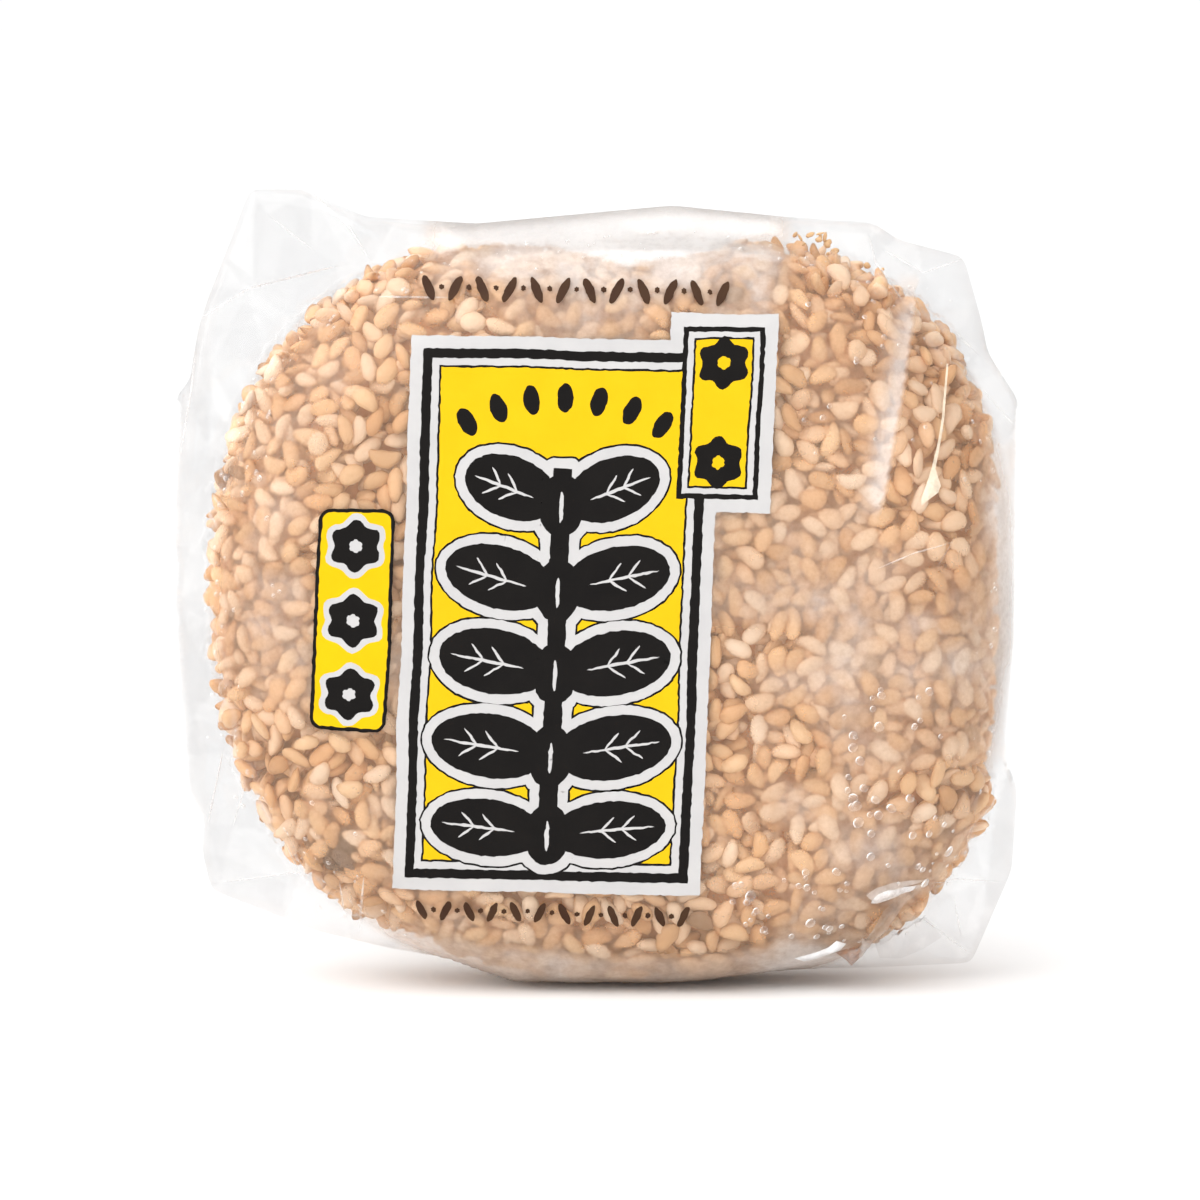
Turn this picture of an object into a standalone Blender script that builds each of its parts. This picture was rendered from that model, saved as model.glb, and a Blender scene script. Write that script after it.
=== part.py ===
"""A sesame daifuku sealed in clear printed film, standing on its rim.

The cake is a pressed rounded square under a crust of sesame seeds. The film lies on the seeds,
clings to the cake's round rim, stands off it as a thin crumpled margin and ends in four
corners, and its two ends are folded over on the back. All of that is one solid. The print on
the film is a set of thin plates that follow it. Sizes are in millimetres: x runs right, y to
the back and z up.
"""

import math
import random

import bmesh
import bpy
from mathutils import Vector
from mathutils.geometry import delaunay_2d_cdt

MM = 0.001
SEED_OF_CHANCE = 11

# The cake, seeds included
CAKE_X, CAKE_Z = 1.55, 37.3
CAKE_HALF_WIDTH, CAKE_HALF_HEIGHT = 39.0, 37.2
CORNER_POWERS = (2.85, 2.6, 2.15, 2.7)  # how square each quarter is, from the top right round by the left
CAKE_HALF_DEPTH = 11.6
FACE_CROWN = 0.9
RIM_ROUND, RIM_POWER = 9.5, 2.2
PROFILE_STEPS = 24

# The film's edge seen from the front, clockwise: x, z and half its depth there
TOP_LEFT_EAR = ((-39.6, 65.8, 1.8), (-38.7, 68.5, 1.2), (-34.4, 79.5, 0.6), (-29.0, 79.5, 1.5))
TOP_FOLD = ((-23.0, 76.8, 4.0), (-12.0, 76.1, 6.0), (7.5, 77.9, 6.0), (18.5, 76.8, 5.5))
TOP_RIGHT_EAR = (
    (27.5, 76.2, 3.0), (30.0, 74.5, 2.2), (36.5, 72.8, 0.8), (38.3, 66.5, 1.5), (39.0, 63.2, 3.0),
)
RIGHT_FOLD = ((42.05, 58.5, 3.5), (42.05, 55.8, 5.0), (41.9, 35.2, 7.0), (41.1, 22.5, 4.5))
BOTTOM_RIGHT_EAR = ((42.2, 19.5, 2.5), (41.7, 11.2, 1.2), (37.7, 1.8, 0.6), (27.4, 1.3, 2.0))
BOTTOM_FOLD = ((19.5, 1.2, 5.0), (8.5, 0.0, 7.0), (-8.5, 0.0, 7.0), (-15.0, 2.3, 5.0))
BOTTOM_LEFT_EAR = (
    (-20.4, 3.2, 3.0), (-28.0, 5.0, 1.5), (-38.7, 9.2, 0.6), (-39.6, 13.2, 1.2), (-39.3, 16.4, 2.0),
)
LEFT_FOLD = ((-41.0, 19.2, 3.0), (-42.2, 40.0, 4.0), (-41.8, 59.2, 3.0), (-40.6, 60.2, 2.5))
FILM_EDGE = (
    TOP_LEFT_EAR + TOP_FOLD + TOP_RIGHT_EAR + RIGHT_FOLD
    + BOTTOM_RIGHT_EAR + BOTTOM_FOLD + BOTTOM_LEFT_EAR + LEFT_FOLD
)
EDGE_STEP = 4.5
LEAST_MARGIN, LEAST_HALF_DEPTH = 0.2, 0.5
FILM_CLING = 0.65  # 0: straight lines from the cake to the edge, 1: tight round the rim, then flat
CRUMPLE, CRUMPLE_SPACING, CRUMPLE_TRIES = 1.3, 4.2, 4000
CRUMPLED_FROM = 1.03  # part of the way from the middle to the rim
CRUMPLE_OFF_EDGE = 1.2

# The seeds that press through the film
SEED_LENGTH, SEED_WIDTH = 3.1, 2.0
SEED_RIDGE = 1.4
SEED_RELIEF = 0.55
SEED_SPACING_FRONT, SEED_SPACING_BACK, SEED_TRIES = 2.75, 3.0, 9000
SEED_RING = 6
SEED_OFF_PRINT = 0.7 * SEED_LENGTH
SEED_REACH = 0.965  # no seed shows past this part of the way from the middle to the rim
RIM_STEP, RIM_OFF_EDGE = 4.0, 1.5
FILL_STEP, FILL_REACH, FILL_TRIES = 6.0, 0.9, 3000
PACK_X, PACK_Z = (-43.0, 43.0), (-1.0, 81.0)  # where the draws look for places

# The two ends of the film, folded over on the back and sealed where they meet
FOLD_RAISE, FOLD_STEP = 0.6, 0.45
FOLD_HALF_WIDTH, FOLD_HALF_HEIGHT, SEAL_HALF_HEIGHT = 31.0, 21.0, 8.0

# The print: a frame of its own, u to the right and v up, from the border's lower left corner
PRINT_ORIGIN = (-20.19, 11.0)
PRINT_SLOPE, PRINT_LEAN = math.radians(0.9), math.radians(2.3)
PRINT_NEAR, PRINT_FAR = 0.3, 0.6
PRINT_GAP = 0.3
PRINT_MARGIN = 1.0
PRINT_GRID = 5.0
GRID_SHIFT = (0.11, 0.13)  # keeps the net's inner points off the outlines
LABEL = (0.0, 0.0, 30.4, 54.8)  # u, v, width, height
LABEL_BORDER, LABEL_BAND = 1.2, 0.93
BADGE = (25.16, 37.9, 10.55, 19.45)
BADGE_BORDER, BADGE_BAND = 1.27, 0.55
TAB = (-8.52, 15.8, 7.48, 22.0)
TAB_BAND, TAB_CORNER = 0.36, 1.2

# The plant on the label: a stalk with pairs of broad leaves, and a pod between each pair
STALK_U, STALK_BOTTOM, STALK_TOP, STALK_WIDTH = 15.2, 3.9, 42.0, 1.8
LEAF_ROWS = (  # v of the row, leaf length, leaf width, droop in degrees
    (38.4, 9.6, 6.0, -20.0),
    (30.0, 10.8, 6.2, -14.0),
    (21.8, 11.2, 6.4, -12.0),
    (13.6, 11.4, 6.4, -10.0),
    (5.8, 11.2, 5.8, -6.0),
)
POD_LENGTH, POD_WIDTH = 6.2, 4.4
LEAF_POINTS, POD_POINTS = 14, 12

# The flowers on the badge and the tab
BADGE_BLOOMS, BADGE_BLOOM_RADIUS = 2, 2.35
TAB_BLOOMS, TAB_BLOOM_RADIUS = 3, 2.35
BLOOM_PETALS, BLOOM_WAVE, BLOOM_POINTS = 6, 0.12, 36

FILM_OVER_SEEDS = "#DDBE97"
PRINT_WHITE = "#E9E8EA"
PRINT_BLACK = "#231F20"
PRINT_YELLOW = "#FFE01E"
FILM_ROUGHNESS, PRINT_ROUGHNESS = 0.35, 0.3

SAME_POINT = 1e-4  # points nearer than this become one


def cake_reach(angle):
    """From the cake's middle to its rim in this direction."""
    across, up = abs(math.cos(angle)), abs(math.sin(angle))
    power = CORNER_POWERS[int(angle % math.tau // (math.pi / 2)) % 4]
    return ((across / CAKE_HALF_WIDTH) ** power + (up / CAKE_HALF_HEIGHT) ** power) ** (-1 / power)


def cake_depth(r, reach):
    """Half the cake's depth at r from its middle, where its rim is at reach."""
    inward = min(max(reach - r, 0.0) / RIM_ROUND, 1.0)
    round_off = (1 - (1 - inward) ** RIM_POWER) ** (1 / RIM_POWER)
    return (CAKE_HALF_DEPTH + FACE_CROWN * (1 - (r / reach) ** 2)) * round_off


def film_reach(angle):
    """From the cake's middle to the film's edge in this direction, and half the film's depth there."""
    across, up = math.cos(angle), math.sin(angle)
    for (x1, z1, h1), (x2, z2, h2) in zip(FILM_EDGE, FILM_EDGE[1:] + FILM_EDGE[:1]):
        a = (x1 - CAKE_X) * up - (z1 - CAKE_Z) * across
        b = (x2 - CAKE_X) * up - (z2 - CAKE_Z) * across
        if (a < 0) == (b < 0):
            continue
        part = a / (a - b)
        r = (x1 + part * (x2 - x1) - CAKE_X) * across + (z1 + part * (z2 - z1) - CAKE_Z) * up
        if r > 0:
            return r, h1 + part * (h2 - h1)
    raise ValueError("the film's edge doesn't go round the cake")


def film_depth(x, z):
    """Half the pack's depth at x, z: the film lies on the cake, then dips in round the rim to its edge."""
    r = math.hypot(x - CAKE_X, z - CAKE_Z)
    angle = math.atan2(z - CAKE_Z, x - CAKE_X)
    reach = cake_reach(angle)
    edge, edge_depth = film_reach(angle)
    edge = max(edge, reach + LEAST_MARGIN)
    steepest, leaves_at = 0.0, reach
    for i in range(PROFILE_STEPS):
        at = reach - RIM_ROUND * i / (PROFILE_STEPS - 1)
        slope = (cake_depth(at, reach) - edge_depth) / (edge - at)
        if slope > steepest:
            steepest, leaves_at = slope, at
    if r <= leaves_at:
        return cake_depth(r, reach)
    straight = edge_depth + steepest * max(edge - r, 0.0)
    tight = max(cake_depth(r, reach), edge_depth)
    return straight + (tight - straight) * FILM_CLING


def on_pack(u, v):
    """x, z of a place in the print's own frame."""
    x = PRINT_ORIGIN[0] + u * math.cos(PRINT_SLOPE) + v * math.sin(PRINT_LEAN)
    z = PRINT_ORIGIN[1] - u * math.sin(PRINT_SLOPE) + v * math.cos(PRINT_LEAN)
    return x, z


def box_loop(box, inset=0.0, corner=0.0, corner_points=4):
    """The outline of a box of the print, set in by inset, with round corners where corner is given."""
    u, v, width, height = box
    left, right = u + inset, u + width - inset
    low, high = v + inset, v + height - inset
    radius = max(corner - inset, 0.0)
    loop = []
    for i, (cu, cv) in enumerate(((right, high), (left, high), (left, low), (right, low))):
        cu += radius if cu == left else -radius
        cv += radius if cv == low else -radius
        for j in range(corner_points if radius else 1):
            angle = math.pi / 2 * (i + j / max(corner_points - 1, 1))
            loop.append((cu + radius * math.cos(angle), cv + radius * math.sin(angle)))
    return loop


def leaf_loop(u, v, length, width, degrees, points, grow=0.0):
    """A leaf from its stalk end at u, v, pointing the given way, made bigger all round by grow."""
    turn = math.radians(degrees)
    loop = []
    for i in range(points):
        t = math.tau * i / points
        along = length / 2 * (1 - math.cos(t)) + grow * -math.cos(t)
        across = -(width / 2 + grow) * math.sin(t)
        loop.append((
            u + along * math.cos(turn) - across * math.sin(turn),
            v + along * math.sin(turn) + across * math.cos(turn),
        ))
    return loop


def bloom_loop(u, v, radius, grow=0.0):
    """A flower of round petals about u, v."""
    loop = []
    for i in range(BLOOM_POINTS):
        t = math.tau * i / BLOOM_POINTS
        r = radius * (1 + BLOOM_WAVE * math.cos(BLOOM_PETALS * (t - math.pi / 2))) + grow
        loop.append((u + r * math.cos(t), v + r * math.sin(t)))
    return loop


def blooms(box, count, radius, grow=0.0):
    """Flowers spread evenly up a box of the print."""
    u, v, width, height = box
    return [bloom_loop(u + width / 2, v + height * (i + 0.5) / count, radius, grow) for i in range(count)]


def plant_loops(grow=0.0):
    """The outlines of the stalk, the leaves and the pods, which overlap."""
    half = STALK_WIDTH / 2
    loops = [box_loop((STALK_U - half, STALK_BOTTOM, STALK_WIDTH, STALK_TOP - STALK_BOTTOM), -grow)]
    for v, length, width, droop in LEAF_ROWS:
        loops.append(leaf_loop(STALK_U + half / 2, v, length, width, -droop, LEAF_POINTS, grow))
        loops.append(leaf_loop(STALK_U - half / 2, v, length, width, 180 + droop, LEAF_POINTS, grow))
        loops.append(leaf_loop(STALK_U, v - POD_LENGTH / 2, POD_LENGTH, POD_WIDTH, 90, POD_POINTS, grow))
    return loops


def holds(loop, x, z):
    """Whether x, z lies inside the loop."""
    inside = False
    for (x1, z1), (x2, z2) in zip(loop, loop[1:] + loop[:1]):
        if (z1 > z) != (z2 > z) and x < x1 + (z - z1) / (z2 - z1) * (x2 - x1):
            inside = not inside
    return inside


def printed(x, z, margin=PRINT_MARGIN):
    """Whether the print covers x, z or comes this close to it."""
    return any(holds([on_pack(*p) for p in box_loop(box, -margin)], x, z) for box in (LABEL, BADGE, TAB))


def fold_loop(step=0.0):
    """The two folded ends on the back, wide at the pack's sides and narrow where they are sealed."""
    wide, high, low = FOLD_HALF_WIDTH + step, FOLD_HALF_HEIGHT + step, SEAL_HALF_HEIGHT + step
    turns = ((wide, high), (0, low), (-wide, high), (-wide, -high), (0, -low), (wide, -high))
    return [(CAKE_X + x, CAKE_Z + z) for x, z in turns]


def folded(x, z, margin=FOLD_STEP):
    """Whether the folded ends cover x, z or come this close to it."""
    return holds(fold_loop(margin), x, z)


def divided(loop, step):
    """The loop with its long sides divided."""
    loop = list(loop)
    points = []
    for start, end in zip(loop, loop[1:] + loop[:1]):
        parts = max(1, round(math.dist(start[:2], end[:2]) / step))
        for i in range(parts):
            points.append(tuple(a + (b - a) * i / parts for a, b in zip(start, end)))
    return points


def spread(chance, spacing, tries, allowed, taken=()):
    """Places at least spacing apart, drawn by chance over the whole pack."""
    cells = {}
    places = []

    def near(x, z):
        i, j = int(x // spacing), int(z // spacing)
        return [p for a in (-1, 0, 1) for b in (-1, 0, 1) for p in cells.get((i + a, j + b), ())]

    def put(x, z):
        cells.setdefault((int(x // spacing), int(z // spacing)), []).append((x, z))

    for x, z in taken:
        put(x, z)
    for _ in range(tries):
        x, z = chance.uniform(*PACK_X), chance.uniform(*PACK_Z)
        if not allowed(x, z) or any(math.dist(p, (x, z)) < spacing for p in near(x, z)):
            continue
        put(x, z)
        places.append((x, z))
    return places


def of_the_way(x, z):
    """How far x, z is from the cake's middle, as a part of the way to its rim."""
    return math.hypot(x - CAKE_X, z - CAKE_Z) / cake_reach(math.atan2(z - CAKE_Z, x - CAKE_X))


def in_loose_film(x, z):
    """Whether x, z lies off the cake's rim and inside the film's edge."""
    edge, _ = film_reach(math.atan2(z - CAKE_Z, x - CAKE_X))
    r = math.hypot(x - CAKE_X, z - CAKE_Z)
    return of_the_way(x, z) > CRUMPLED_FROM and r < edge - CRUMPLE_OFF_EDGE


class Face:
    """One face of the pack, front or back: points, their depths and the lines that its triangles keep."""

    def __init__(self, edge):
        self.points = [(x, z) for x, z, _ in edge]
        self.depths = [h for _, _, h in edge]
        self.lines = []
        self.outline = list(range(len(edge)))

    def add(self, x, z, depth):
        self.points.append((x, z))
        self.depths.append(depth)
        return len(self.points) - 1

    def add_loop(self, loop, raise_by):
        first = [self.add(x, z, film_depth(x, z) + raise_by) for x, z in loop]
        self.lines += list(zip(first, first[1:] + first[:1]))

    def add_seed(self, x, z, turn):
        """A bump of a seed's size: a low ring and a ridge of two points."""
        along, across = Vector((math.cos(turn), math.sin(turn))), Vector((-math.sin(turn), math.cos(turn)))
        for i in range(SEED_RING):
            t = math.tau * (i + 0.5) / SEED_RING
            spot = Vector((x, z)) + along * math.cos(t) * SEED_LENGTH / 2
            spot += across * math.sin(t) * SEED_WIDTH / 2
            self.add(*spot, film_depth(*spot) - SEED_RELIEF)
        ridge = [Vector((x, z)) + along * end * SEED_RIDGE / 2 for end in (-1, 1)]
        self.lines.append(tuple(self.add(*spot, film_depth(*spot)) for spot in ridge))

    def triangles(self):
        """Points and triangles, and where each point that was put in came out."""
        points, _, faces, came_from, _, inside = delaunay_2d_cdt(
            [Vector(p) for p in self.points], self.lines, [self.outline[::-1]], 0, SAME_POINT, True
        )
        faces = [face for face, owners in zip(faces, inside) if owners]
        out_of = {i: out for out, sources in enumerate(came_from) for i in sources}
        depths = [self.depths[sources[0]] for sources in came_from]
        return [(x, z, depth) for (x, z), depth in zip(points, depths)], faces, out_of


def fold_raise(x, z):
    """How far the folded ends raise the back at x, z."""
    return FOLD_RAISE if folded(x, z, 0.0) else 0.0


def pack_face(chance, edge, seed_spacing, bare, raised):
    """The film over one side of the cake. Where bare says so it runs flat over the seeds, and is raised."""
    face = Face(edge)
    rim = []
    steps = round(math.tau * CAKE_HALF_WIDTH / RIM_STEP)
    for i in range(steps):
        angle = math.tau * i / steps
        r = cake_reach(angle) + SEED_RELIEF
        x, z = CAKE_X + r * math.cos(angle), CAKE_Z + r * math.sin(angle)
        if film_reach(angle)[0] - r > RIM_OFF_EDGE:
            rim.append((x, z))
            face.add(x, z, film_depth(x, z))

    def seed_shows(x, z):
        return of_the_way(x, z) < SEED_REACH and not bare(x, z, SEED_OFF_PRINT)

    seeds = spread(chance, seed_spacing, SEED_TRIES, seed_shows)
    for x, z in seeds:
        face.add_seed(x, z, chance.uniform(0, math.pi))
    for x, z in spread(chance, CRUMPLE_SPACING, CRUMPLE_TRIES, in_loose_film, rim):
        room = max(film_depth(x, z) - LEAST_HALF_DEPTH, 0.0)
        face.add(x, z, film_depth(x, z) - min(CRUMPLE, room) * chance.random())

    def left_flat(x, z):
        return of_the_way(x, z) < FILL_REACH and bare(x, z)

    for x, z in spread(chance, FILL_STEP, FILL_TRIES, left_flat, seeds):
        face.add(x, z, film_depth(x, z) + raised(x, z))
    return face


def wrapped_daifuku(chance):
    edge = divided(FILM_EDGE, EDGE_STEP)
    front = pack_face(chance, edge, SEED_SPACING_FRONT, printed, lambda x, z: 0.0)
    back = pack_face(chance, edge, SEED_SPACING_BACK, folded, fold_raise)
    back.add_loop(fold_loop(), FOLD_RAISE)
    back.add_loop(fold_loop(FOLD_STEP), 0.0)
    vertices, faces, joins = [], [], []
    for face, facing in ((front, -1), (back, 1)):
        points, triangles, out_of = face.triangles()
        base = len(vertices)
        vertices += [(x, facing * depth, z) for x, z, depth in points]
        faces += [[base + i for i in triangle] for triangle in triangles]
        joins.append([base + out_of[i] for i in face.outline])
    ahead, behind = joins
    for i in range(len(edge)):
        j = (i + 1) % len(edge)
        faces.append([ahead[i], ahead[j], behind[j], behind[i]])
    return solid("wrapped_daifuku", vertices, faces, FILM_OVER_SEEDS, FILM_ROUGHNESS)


def largest_piece(triangles):
    """The triangles that hang together by their edges in the largest group."""
    by_edge = {}
    for n, triangle in enumerate(triangles):
        for a, b in zip(triangle, triangle[1:] + triangle[:1]):
            by_edge.setdefault(frozenset((a, b)), []).append(n)
    left = set(range(len(triangles)))
    best = []
    while left:
        group, waiting = [], [left.pop()]
        while waiting:
            n = waiting.pop()
            group.append(n)
            triangle = triangles[n]
            for a, b in zip(triangle, triangle[1:] + triangle[:1]):
                beside = [m for m in by_edge[frozenset((a, b))] if m in left]
                left.difference_update(beside)
                waiting += beside
        best = max(best, group, key=len)
    return [triangles[n] for n in sorted(best)]


def plate(name, shown, cut, colour):
    """A thin plate over the film: what lies in a loop of shown and in none of cut."""
    loops = [[on_pack(*p) for p in divided(loop, PRINT_GRID)] for loop in (*shown, *cut)]
    points, rings = [], []
    for loop in loops:
        rings.append(list(range(len(points), len(points) + len(loop))))
        points += loop
    xs, zs = [x for x, _ in points], [z for _, z in points]
    left, low = min(xs), min(zs)
    columns, rows = (math.ceil((max(a) - min(a)) / PRINT_GRID) for a in (xs, zs))
    for i in range(1, columns):
        for j in range(1, rows):
            points.append((left + (i + GRID_SHIFT[0]) * PRINT_GRID, low + (j + GRID_SHIFT[1]) * PRINT_GRID))
    flat, _, triangles, _, _, inside = delaunay_2d_cdt(
        [Vector(p) for p in points], [], rings, 0, SAME_POINT, True
    )
    kept = largest_piece([
        triangle for triangle, owners in zip(triangles, inside)
        if any(i < len(shown) for i in owners) and not any(i >= len(shown) for i in owners)
    ])
    used = sorted({i for triangle in kept for i in triangle})
    place = {i: n for n, i in enumerate(used)}
    vertices = []
    for clear in (PRINT_FAR, PRINT_NEAR):
        vertices += [(flat[i][0], -film_depth(*flat[i]) - clear, flat[i][1]) for i in used]
    kept = [[place[i] for i in triangle] for triangle in kept]
    faces = kept + [[i + len(used) for i in reversed(triangle)] for triangle in kept]
    edges = {}
    for triangle in kept:
        for a, b in zip(triangle, triangle[1:] + triangle[:1]):
            edges[a, b] = edges.pop((b, a), None) is None
    for (a, b), open_edge in edges.items():
        if open_edge:
            faces.append([b, a, a + len(used), b + len(used)])
    return solid(name, vertices, faces, colour, PRINT_ROUGHNESS)


def linear(hex_colour):
    """The linear red, green and blue of an sRGB colour, and an alpha of 1."""
    parts = [int(hex_colour[i : i + 2], 16) / 255 for i in (1, 3, 5)]
    return [p / 12.92 if p <= 0.04045 else ((p + 0.055) / 1.055) ** 2.4 for p in parts] + [1.0]


def solid(name, vertices, faces, colour, roughness):
    mesh = bpy.data.meshes.new(name)
    mesh.from_pydata([Vector(v) * MM for v in vertices], [], faces)
    shape = bmesh.new()
    shape.from_mesh(mesh)
    bmesh.ops.delete(shape, geom=[v for v in shape.verts if not v.link_faces], context="VERTS")
    bmesh.ops.triangulate(shape, faces=shape.faces)
    bmesh.ops.recalc_face_normals(shape, faces=shape.faces)
    shape.to_mesh(mesh)
    shape.free()
    material = bpy.data.materials.new(name)
    material.use_nodes = True
    surface = material.node_tree.nodes["Principled BSDF"]
    surface.inputs["Base Color"].default_value = linear(colour)
    surface.inputs["Roughness"].default_value = roughness
    surface.inputs["Metallic"].default_value = 0.0
    mesh.materials.append(material)
    placed = bpy.data.objects.new(name, mesh)
    bpy.context.scene.collection.objects.link(placed)
    return placed


def print_plates():
    """The label with its plant, the badge at its corner and the tab at its left."""
    label_frame_inner = LABEL_BORDER + LABEL_BAND
    badge_frame_inner = BADGE_BORDER + BADGE_BAND
    badge_hole = box_loop(BADGE, BADGE_BORDER - PRINT_GAP)
    plate(
        "label_border",
        [box_loop(LABEL), box_loop(BADGE)],
        [box_loop(LABEL, LABEL_BORDER - PRINT_GAP), badge_hole],
        PRINT_WHITE,
    )
    plate(
        "label_frame",
        [box_loop(LABEL, LABEL_BORDER)],
        [box_loop(LABEL, label_frame_inner), badge_hole],
        PRINT_BLACK,
    )
    plate(
        "label_field",
        [box_loop(LABEL, label_frame_inner + PRINT_GAP)],
        [badge_hole, *plant_loops(PRINT_GAP)],
        PRINT_YELLOW,
    )
    plate("label_plant", plant_loops(), [], PRINT_BLACK)
    plate("badge_frame", [box_loop(BADGE, BADGE_BORDER)], [box_loop(BADGE, badge_frame_inner)], PRINT_BLACK)
    plate(
        "badge_field",
        [box_loop(BADGE, badge_frame_inner + PRINT_GAP)],
        blooms(BADGE, BADGE_BLOOMS, BADGE_BLOOM_RADIUS, PRINT_GAP),
        PRINT_YELLOW,
    )
    tab_inner = box_loop(TAB, TAB_BAND, TAB_CORNER)
    plate("tab_frame", [box_loop(TAB, 0.0, TAB_CORNER)], [tab_inner], PRINT_BLACK)
    plate(
        "tab_field",
        [box_loop(TAB, TAB_BAND + PRINT_GAP, TAB_CORNER)],
        blooms(TAB, TAB_BLOOMS, TAB_BLOOM_RADIUS, PRINT_GAP),
        PRINT_YELLOW,
    )
    for i, loop in enumerate(blooms(BADGE, BADGE_BLOOMS, BADGE_BLOOM_RADIUS)):
        plate(f"badge_bloom_{i + 1}", [loop], [], PRINT_BLACK)
    for i, loop in enumerate(blooms(TAB, TAB_BLOOMS, TAB_BLOOM_RADIUS)):
        plate(f"tab_bloom_{i + 1}", [loop], [], PRINT_BLACK)


def main():
    for old in list(bpy.data.objects):
        bpy.data.objects.remove(old, do_unlink=True)
    wrapped_daifuku(random.Random(SEED_OF_CHANCE))
    print_plates()


main()
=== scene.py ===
"""A sesame daifuku sealed in clear printed film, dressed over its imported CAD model.

Sesame seeds cover a core of rice cake. Clear film lies on the seeds, is fogged where it stands
off them, and ends in four crumpled corners. The print lies on the film. Sizes are in
millimetres: x runs right, y to the back and z up.
"""

import math
import random

import bpy
import numpy as np
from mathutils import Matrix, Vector
from mathutils.bvhtree import BVHTree
from mathutils.geometry import delaunay_2d_cdt


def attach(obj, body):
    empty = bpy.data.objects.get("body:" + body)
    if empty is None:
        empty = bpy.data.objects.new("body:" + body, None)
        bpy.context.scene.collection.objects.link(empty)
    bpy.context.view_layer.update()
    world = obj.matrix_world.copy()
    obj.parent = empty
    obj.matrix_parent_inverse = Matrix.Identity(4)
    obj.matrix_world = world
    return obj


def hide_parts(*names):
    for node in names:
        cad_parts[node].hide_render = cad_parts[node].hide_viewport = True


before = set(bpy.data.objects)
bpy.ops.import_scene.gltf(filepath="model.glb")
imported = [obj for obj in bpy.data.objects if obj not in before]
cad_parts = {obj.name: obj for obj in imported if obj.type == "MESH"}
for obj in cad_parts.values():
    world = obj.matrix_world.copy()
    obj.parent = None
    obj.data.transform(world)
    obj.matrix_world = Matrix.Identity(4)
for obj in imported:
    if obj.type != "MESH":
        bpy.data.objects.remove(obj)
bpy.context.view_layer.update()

MM = 0.001

# The cake, seeds included, as in the CAD model
CAKE_X, CAKE_Z = 1.55, 37.3
CAKE_HALF_WIDTH, CAKE_HALF_HEIGHT = 39.0, 37.2
CORNER_POWERS = (2.85, 2.6, 2.15, 2.7)  # how square each quarter is, from the top right round by the left
CAKE_HALF_DEPTH, FACE_CROWN = 11.6, 0.9
RIM_ROUND, RIM_POWER = 9.5, 2.2
PROFILE_STEPS = 24

# The film's edge seen from the front, clockwise: x, z and half its depth there
FILM_EDGE = (
    (-39.6, 65.8, 1.8), (-38.7, 68.5, 1.2), (-34.4, 79.5, 0.6), (-29.0, 79.5, 1.5),
    (-23.0, 76.8, 4.0), (-12.0, 76.1, 6.0), (7.5, 77.9, 6.0), (18.5, 76.8, 5.5),
    (27.5, 76.2, 3.0), (30.0, 74.5, 2.2), (36.5, 72.8, 0.8), (38.3, 66.5, 1.5), (39.0, 63.2, 3.0),
    (42.05, 58.5, 3.5), (42.05, 55.8, 5.0), (41.9, 35.2, 7.0), (41.1, 22.5, 4.5),
    (42.2, 19.5, 2.5), (41.7, 11.2, 1.2), (37.7, 1.8, 0.6), (27.4, 1.3, 2.0),
    (19.5, 1.2, 5.0), (8.5, 0.0, 7.0), (-8.5, 0.0, 7.0), (-15.0, 2.3, 5.0),
    (-20.4, 3.2, 3.0), (-28.0, 5.0, 1.5), (-38.7, 9.2, 0.6), (-39.6, 13.2, 1.2), (-39.3, 16.4, 2.0),
    (-41.0, 19.2, 3.0), (-42.2, 40.0, 4.0), (-41.8, 59.2, 3.0), (-40.6, 60.2, 2.5),
)
FILM_CLING = 0.65  # 0: straight lines from the cake to the edge, 1: tight round the rim, then flat
EDGE_TABLE = 3600
EDGE_ROUND = 2.2

# The crust
SEED_LENGTH, SEED_WIDTH, SEED_THICKNESS = 3.05, 1.80, 1.02
SEED_RINGS, SEED_SIDES = 6, 9
SEED_GRAIN = 4.0  # the size of the cells in which a seed looks for its neighbours
SEED_PARTS = ((-0.9, 0.62), (0.0, 0.88), (0.9, 0.62))  # place along the seed and radius
SEED_LAYERS = (  # tries, closeness, least and most depth below the film, tilt and roll in degrees
    (24000, 0.78, 0.40, 0.85, 14.0, 24.0),
    (22000, 0.74, 0.90, 1.40, 20.0, 34.0),
    (20000, 0.72, 1.40, 2.00, 24.0, 40.0),
    (9000, 0.72, 2.00, 2.60, 24.0, 40.0),
)
SEED_STANDS_OUT = 1.9  # the most by which one stands out of the rim, in the loose film
SEED_FLATNESS = 1.7  # seeds are flat, so depth counts for this much more between two of them
SEED_KINDS = (  # name, share of the crust, palest, deepest and tip colours
    ("sesame_cream", 0.24, "#F8DABA", "#EFC298", "#C68F5F"),
    ("sesame_ivory", 0.24, "#FAE2C8", "#F3CFAC", "#D0A074"),
    ("sesame_golden", 0.21, "#F5CFA4", "#EAB885", "#B98452"),
    ("sesame_honey", 0.19, "#F1C496", "#E3AC79", "#AB7648"),
    ("sesame_toasted", 0.12, "#E6B888", "#CC9766", "#8E603C"),
)
SEED_DENTS, SEED_DENT = 7.0, 0.05  # how many dents along a seed, and how deep, as a part of its width
DARK_SEEDS = (  # x, z, how far round and how dark, on the front
    (-25.7, 14.3, 1.5, 0.92),
    (32.2, 59.4, 0.7, 0.9),
    (-33.0, 52.4, 0.5, 0.6),
    (-26.5, 23.2, 0.5, 0.35),
    (14.2, 60.0, 0.5, 0.6),
)
SEED_BLUNT, SEED_SQUARE = 0.54, 0.8  # below 1, blunter ends and squarer sides
TIP_FROM, TIP_BROWN = 0.72, 0.6  # where along a seed its brown tip starts, and how brown the last ring is
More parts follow.
